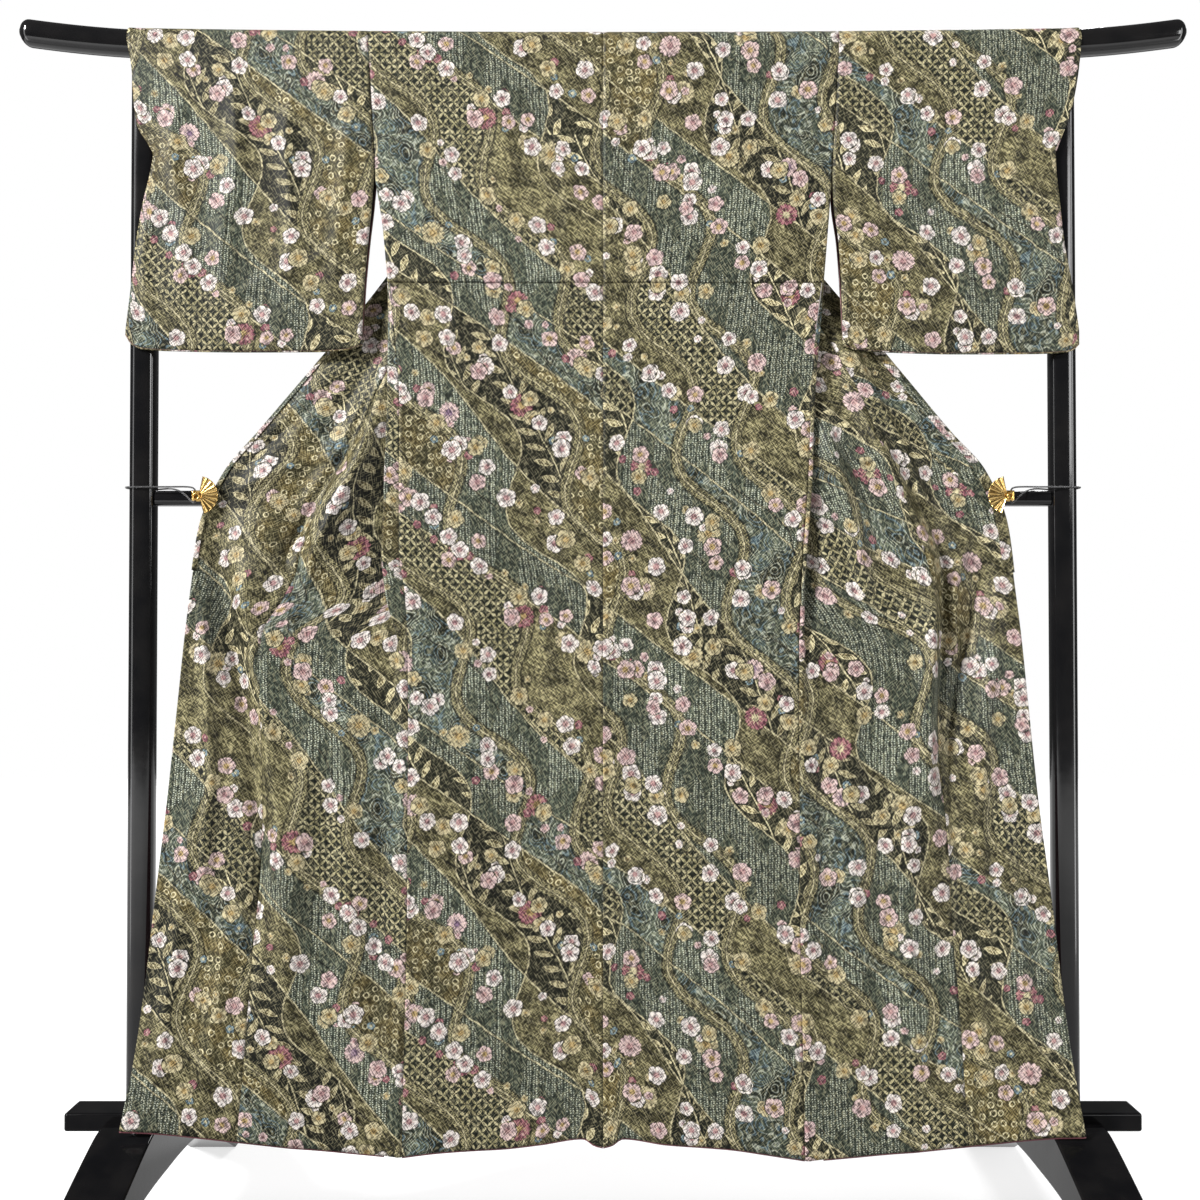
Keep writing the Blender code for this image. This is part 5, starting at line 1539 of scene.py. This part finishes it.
def print_colour(across, down):
    """The whole print: patches between wandering edges, their outlines, then branches and flowers."""
    slanting = strokes(across, down, 33, 0.0016, 0.0100)
    crossing = strokes(across, down, -48, 0.0016, 0.0080)
    across = across + (patchy(across, down, 60.0) - 0.5) * 0.0026
    down = (down + (patchy(down, across, 57.0) - 0.5) * 0.0026).remainder(REPEAT)

    first, first_edge = band_family(across, down, 6, 7.0, 0.30, 2, 9.0, 0.6)
    second, second_edge = band_family(across, down, 3, 11.0, 0.34, 3, -6.0, 2.0)
    pick, tones = chance(point(first.whole().remainder(6.0), second.whole().remainder(3.0), 4.0))
    tone = patchy(across, down, 42.0).rise(0.28, 0.72)
    colour = willow(across, down, tone, slanting)
    for level, fill in FILLS:
        colour = mixed(pick > level, colour, fill(across, down, tone, slanting))
    colour = lightened(colour, tones[1] * 0.45 + 0.78)

    colour = fern_strip(colour, second, second_edge, down)
    edge = first_edge.least(second_edge)
    colour = lightened(colour, 1.0 - edge.rise(0.0040, 0.0008) * 0.45)
    worn = patchy(across, down, 150.0).rise(0.25, 0.57) * 0.45 + 0.45
    colour = mixed(edge.rise(0.0015, 0.0008) * worn, colour, CREAM)
    colour = flowers(branches(colour, across, down), across, down)

    threads = slanting * 0.5 + crossing * 0.5
    stitch = slanting.rise(0.58, 0.74).most(crossing.rise(0.61, 0.77))
    colour = mixed(stitch * 0.20, colour, CREAM)
    return lightened(colour, threads.rise(0.30, 0.70) * 0.56 + 0.12), threads


# The materials.


def new_finish(name):
    """A new material and the tree of its nodes."""
    material = bpy.data.materials.new(name)
    material.use_nodes = True
    return material, material.node_tree


def painted(material, values, height=None, depth=0.0, strength=1.0):
    """The material with its values set on the shader, and a bump from a height wire.

    A value that is the same all over is a number, and one that varies is a wire. The height's full
    range is a depth in metres.
    """
    shader = material.node_tree.nodes["Principled BSDF"]
    for name, value in {"Sheen Roughness": 0.35, **values}.items():
        feed(shader.inputs[name], value)
    if height:
        bump = added(height.tree, "Bump", {"Strength": strength, "Distance": depth, "Height": height})
        feed(shader.inputs["Normal"], Wire(bump))
    return material


def cloth_coordinates(tree):
    """Metres across and down the cloth."""
    return parts_of(Wire(added(tree, "UVMap", {}, uv_map="Cloth")))[:2]


def object_coordinates(tree):
    """The place in the object's own frame."""
    return Wire(added(tree, "TexCoord", {}), "Object")


def printed_silk(name, offset):
    """Printed silk: the print, a fine crepe weave, and thread by thread changes in its gloss."""
    material, tree = new_finish(name)
    across, down = cloth_coordinates(tree)
    colour, threads = print_colour(across + offset[0], down + offset[1])
    crepe = patchy(across * 900.0, down * 700.0)
    values = {"Base Color": colour, "Roughness": threads * 0.30 + 0.36, "Specular IOR Level": 0.12}
    return painted(material, values, threads * 0.6 + crepe * 0.4, 0.0004)


def plain_silk(name, colour, dark):
    """Dyed silk: slow changes of tone and a fine crepe weave."""
    material, tree = new_finish(name)
    across, down = cloth_coordinates(tree)
    tone = patchy(across, down, 14.0, 2.0).rise(0.3, 0.7)
    crepe = patchy(across * 1400.0, down * 900.0)
    dyed = lightened(mixed(tone, dark, colour), crepe * 0.18 + 0.42)
    return painted(material, {"Base Color": dyed, "Roughness": 0.5, "Sheen Weight": 0.12}, crepe, 0.0003)


def lining_silk(name):
    """The lining: rose in the lower part, grey-brown above it, and a seam between them."""
    material, tree = new_finish(name)
    place = object_coordinates(tree)
    _, _, height = parts_of(place)
    across, down = cloth_coordinates(tree)
    crepe = patchy(across * 1300.0, down * 900.0)
    tone = cloudy(place, 9.0, 3.0).rise(0.1, 0.9)
    upper = mixed(tone, LINING_DEEP_BROWN, LINING_BROWN)
    lower = mixed(tone, LINING_DEEP_ROSE, LINING_ROSE)
    colour = mixed(height > LINING_ROSE_TOP, lower, upper)
    seam = abs(height - LINING_ROSE_TOP).rise(0.0016, 0.0004)
    colour = lightened(colour, (crepe * 0.16 + 0.42) * (1.0 - seam * 0.5))
    values = {"Base Color": colour, "Roughness": 0.45, "Sheen Weight": 0.10}
    return painted(material, values, crepe * 0.4 - seam * 1.0, 0.0004)


def lacquer(name, gloss):
    """Black lacquer: a deep gloss, a little uneven, with the faint swirl of its last polish."""
    material, tree = new_finish(name)
    place = object_coordinates(tree)
    slow, fine = cloudy(place, 22.0, 2.0), cloudy(place, 260.0, 2.0)
    colour = mixed(slow.rise(0.3, 0.7), (0.0026, 0.0026, 0.0030), (0.0050, 0.0047, 0.0048))
    values = {"Base Color": colour, "Roughness": fine * 0.05 + slow * 0.05 + 0.05, "IOR": gloss}
    return painted(material, values, slow, 0.0006, 0.25)


def fan_gold(name):
    """Polished gilt brass, with a painted shade that darkens it in the pleats' valleys."""
    material, tree = new_finish(name)
    phase, _ = cloth_coordinates(tree)
    valley = abs(phase.part() - 0.5).rise(0.20, 0.46)
    worn = cloudy(object_coordinates(tree), 420.0, 2.0)
    bright = mixed(worn.rise(0.3, 0.7), WORN_FAN_GILT, FAN_GILT)
    # Painted shade: the gilt is darkened towards the bottom of each pleat's valley.
    colour = mixed(valley * 0.9, bright, PLEAT_PAINTED_SHADE)
    rough = worn * 0.16 + valley * 0.10 + 0.14
    return painted(material, {"Base Color": colour, "Roughness": rough, "Metallic": 1.0})


def plain_gold(name):
    """The same gilt brass for the plate and the ring, with fine scuffs."""
    material, tree = new_finish(name)
    worn = cloudy(object_coordinates(tree), 300.0, 3.0)
    colour = mixed(worn.rise(0.35, 0.7), WORN_GILT, GILT)
    return painted(material, {"Base Color": colour, "Roughness": worn * 0.2 + 0.14, "Metallic": 1.0})


def braided_elastic(name):
    """Black elastic: two sets of strands crossing round the cord."""
    material, tree = new_finish(name)
    around, length = cloth_coordinates(tree)
    one = (around * (TURN * 4) + length * 3600.0).sine()
    other = (around * (TURN * 4) - length * 3600.0).sine()
    strand = one.most(other)
    colour = mixed(strand.rise(0.2, 1.0), (0.004, 0.004, 0.004), (0.030, 0.030, 0.032))
    values = {"Base Color": colour, "Roughness": 0.7, "Sheen Weight": 0.3}
    return painted(material, values, strand, 0.0003)


def floor_finish(name):
    """Pale matt floor, barely uneven, with a painted glow that grows behind the stand and far from it,
    where it looks white.
    """
    material, tree = new_finish(name)
    place = object_coordinates(tree)
    colour = mixed(cloudy(place, 3.0, 2.0), (0.34, 0.34, 0.34), (0.37, 0.37, 0.37))
    x, y, _ = parts_of(place)
    # A painted glow: the floor gives out light, most behind the stand and far off.
    glow = (y.rise(-0.4, 0.25) * 0.75).most(length_of(x, y).rise(1.8, 4.5) * 0.95)
    values = {"Base Color": colour, "Roughness": 0.8}
    return painted(material, {**values, "Emission Color": WHITE, "Emission Strength": glow})


# The studio and the whole scene.


def build_studio():
    """The floor, a white surround that lights the room only a little, and the lights."""
    floor = bpy.data.meshes.new("floor")
    corners = [(-FLOOR_REACH, -FLOOR_REACH, 0), (FLOOR_REACH, -FLOOR_REACH, 0),
               (FLOOR_REACH, FLOOR_REACH, 0), (-FLOOR_REACH, FLOOR_REACH, 0)]
    floor.from_pydata(corners, [], [(0, 1, 2, 3)])
    floor_object = make_object("floor", floor, [floor_finish("pale_floor")])
    world = bpy.data.worlds.new("studio")
    world.use_nodes = True
    background = world.node_tree.nodes["Background"]
    seen = Wire(added(world.node_tree, "LightPath", {}), "Is Camera Ray")
    feed(background.inputs["Color"], WHITE)
    feed(background.inputs["Strength"], seen * (1.0 - ROOM_LIGHT) + ROOM_LIGHT)
    bpy.context.scene.world = world
    bpy.context.scene.view_settings.view_transform = "Standard"
    for name, (place, aim, size, power) in LIGHTS.items():
        settings = {"shape": "RECTANGLE", "size": size[0], "size_y": size[1], "energy": power}
        light = settled(bpy.data.lights.new(name, "AREA"), settings)
        away = np.array(place) - np.array(aim)
        pitch = math.atan2(math.hypot(away[0], away[1]), away[2])
        placed(name, light, place, (pitch, 0, math.atan2(away[0], -away[1])))


def build_camera():
    """The photograph's camera."""
    camera = bpy.data.cameras.new("camera")
    camera.sensor_width = SENSOR_WIDTH
    camera.lens = LENS_PIXELS / PICTURE_WIDTH * SENSOR_WIDTH
    bpy.context.scene.camera = placed("camera", camera, CAMERA_PLACE, (CAMERA_TILT, 0, 0))


def main():
    """Build the camera, the studio, the stand and the kimono."""
    build_camera()
    build_studio()
    silk = printed_silk("printed_silk_cloth", BODY_PRINT_START)
    band_silk = printed_silk("collar_silk_cloth", COLLAR_PRINT_START)
    rose = plain_silk("rose_silk_cloth", ROSE, DEEP_ROSE)
    lining = lining_silk("lining_silk")
    coat = lacquer("black_lacquer_coat", COAT_GLOSS)
    foot_coat = lacquer("black_lacquer_foot_coat", FOOT_COAT_GLOSS)
    gilt = plain_gold("gilt_brass")
    leaf_gold = fan_gold("polished_gold")
    elastic = braided_elastic("braided_elastic")
    build_bar([coat])
    build_rail([coat])
    build_plank([foot_coat])
    for side in (-1, 1):
        build_post(side, [coat])
        build_foot(side, [foot_coat])
        build_body(side, [silk, lining, lining])
        build_gore(side, [silk, lining, lining])
        build_sleeve(side, [silk, lining, rose])
        build_collar(side, [band_silk] * 3)
        build_collar_fold(side, [band_silk] * 3)
        rows = back_rows(side)[:, ::-1]
        build_facing("back", side, rows[0], rows[FACING_TOWARDS], BACK_FACING_COLUMNS, [rose] * 3)
        rows = lying_rows(side) * [side, 1, 1]
        build_facing("front", side, rows[-1], rows[-1 - FACING_TOWARDS], FRONT_FACING_COLUMNS, [rose] * 3)
        build_fan(side, [leaf_gold])
        build_jaw(side, [gilt])
        build_hub_ring(side, [gilt])
        build_elastic(side, [elastic])


main()
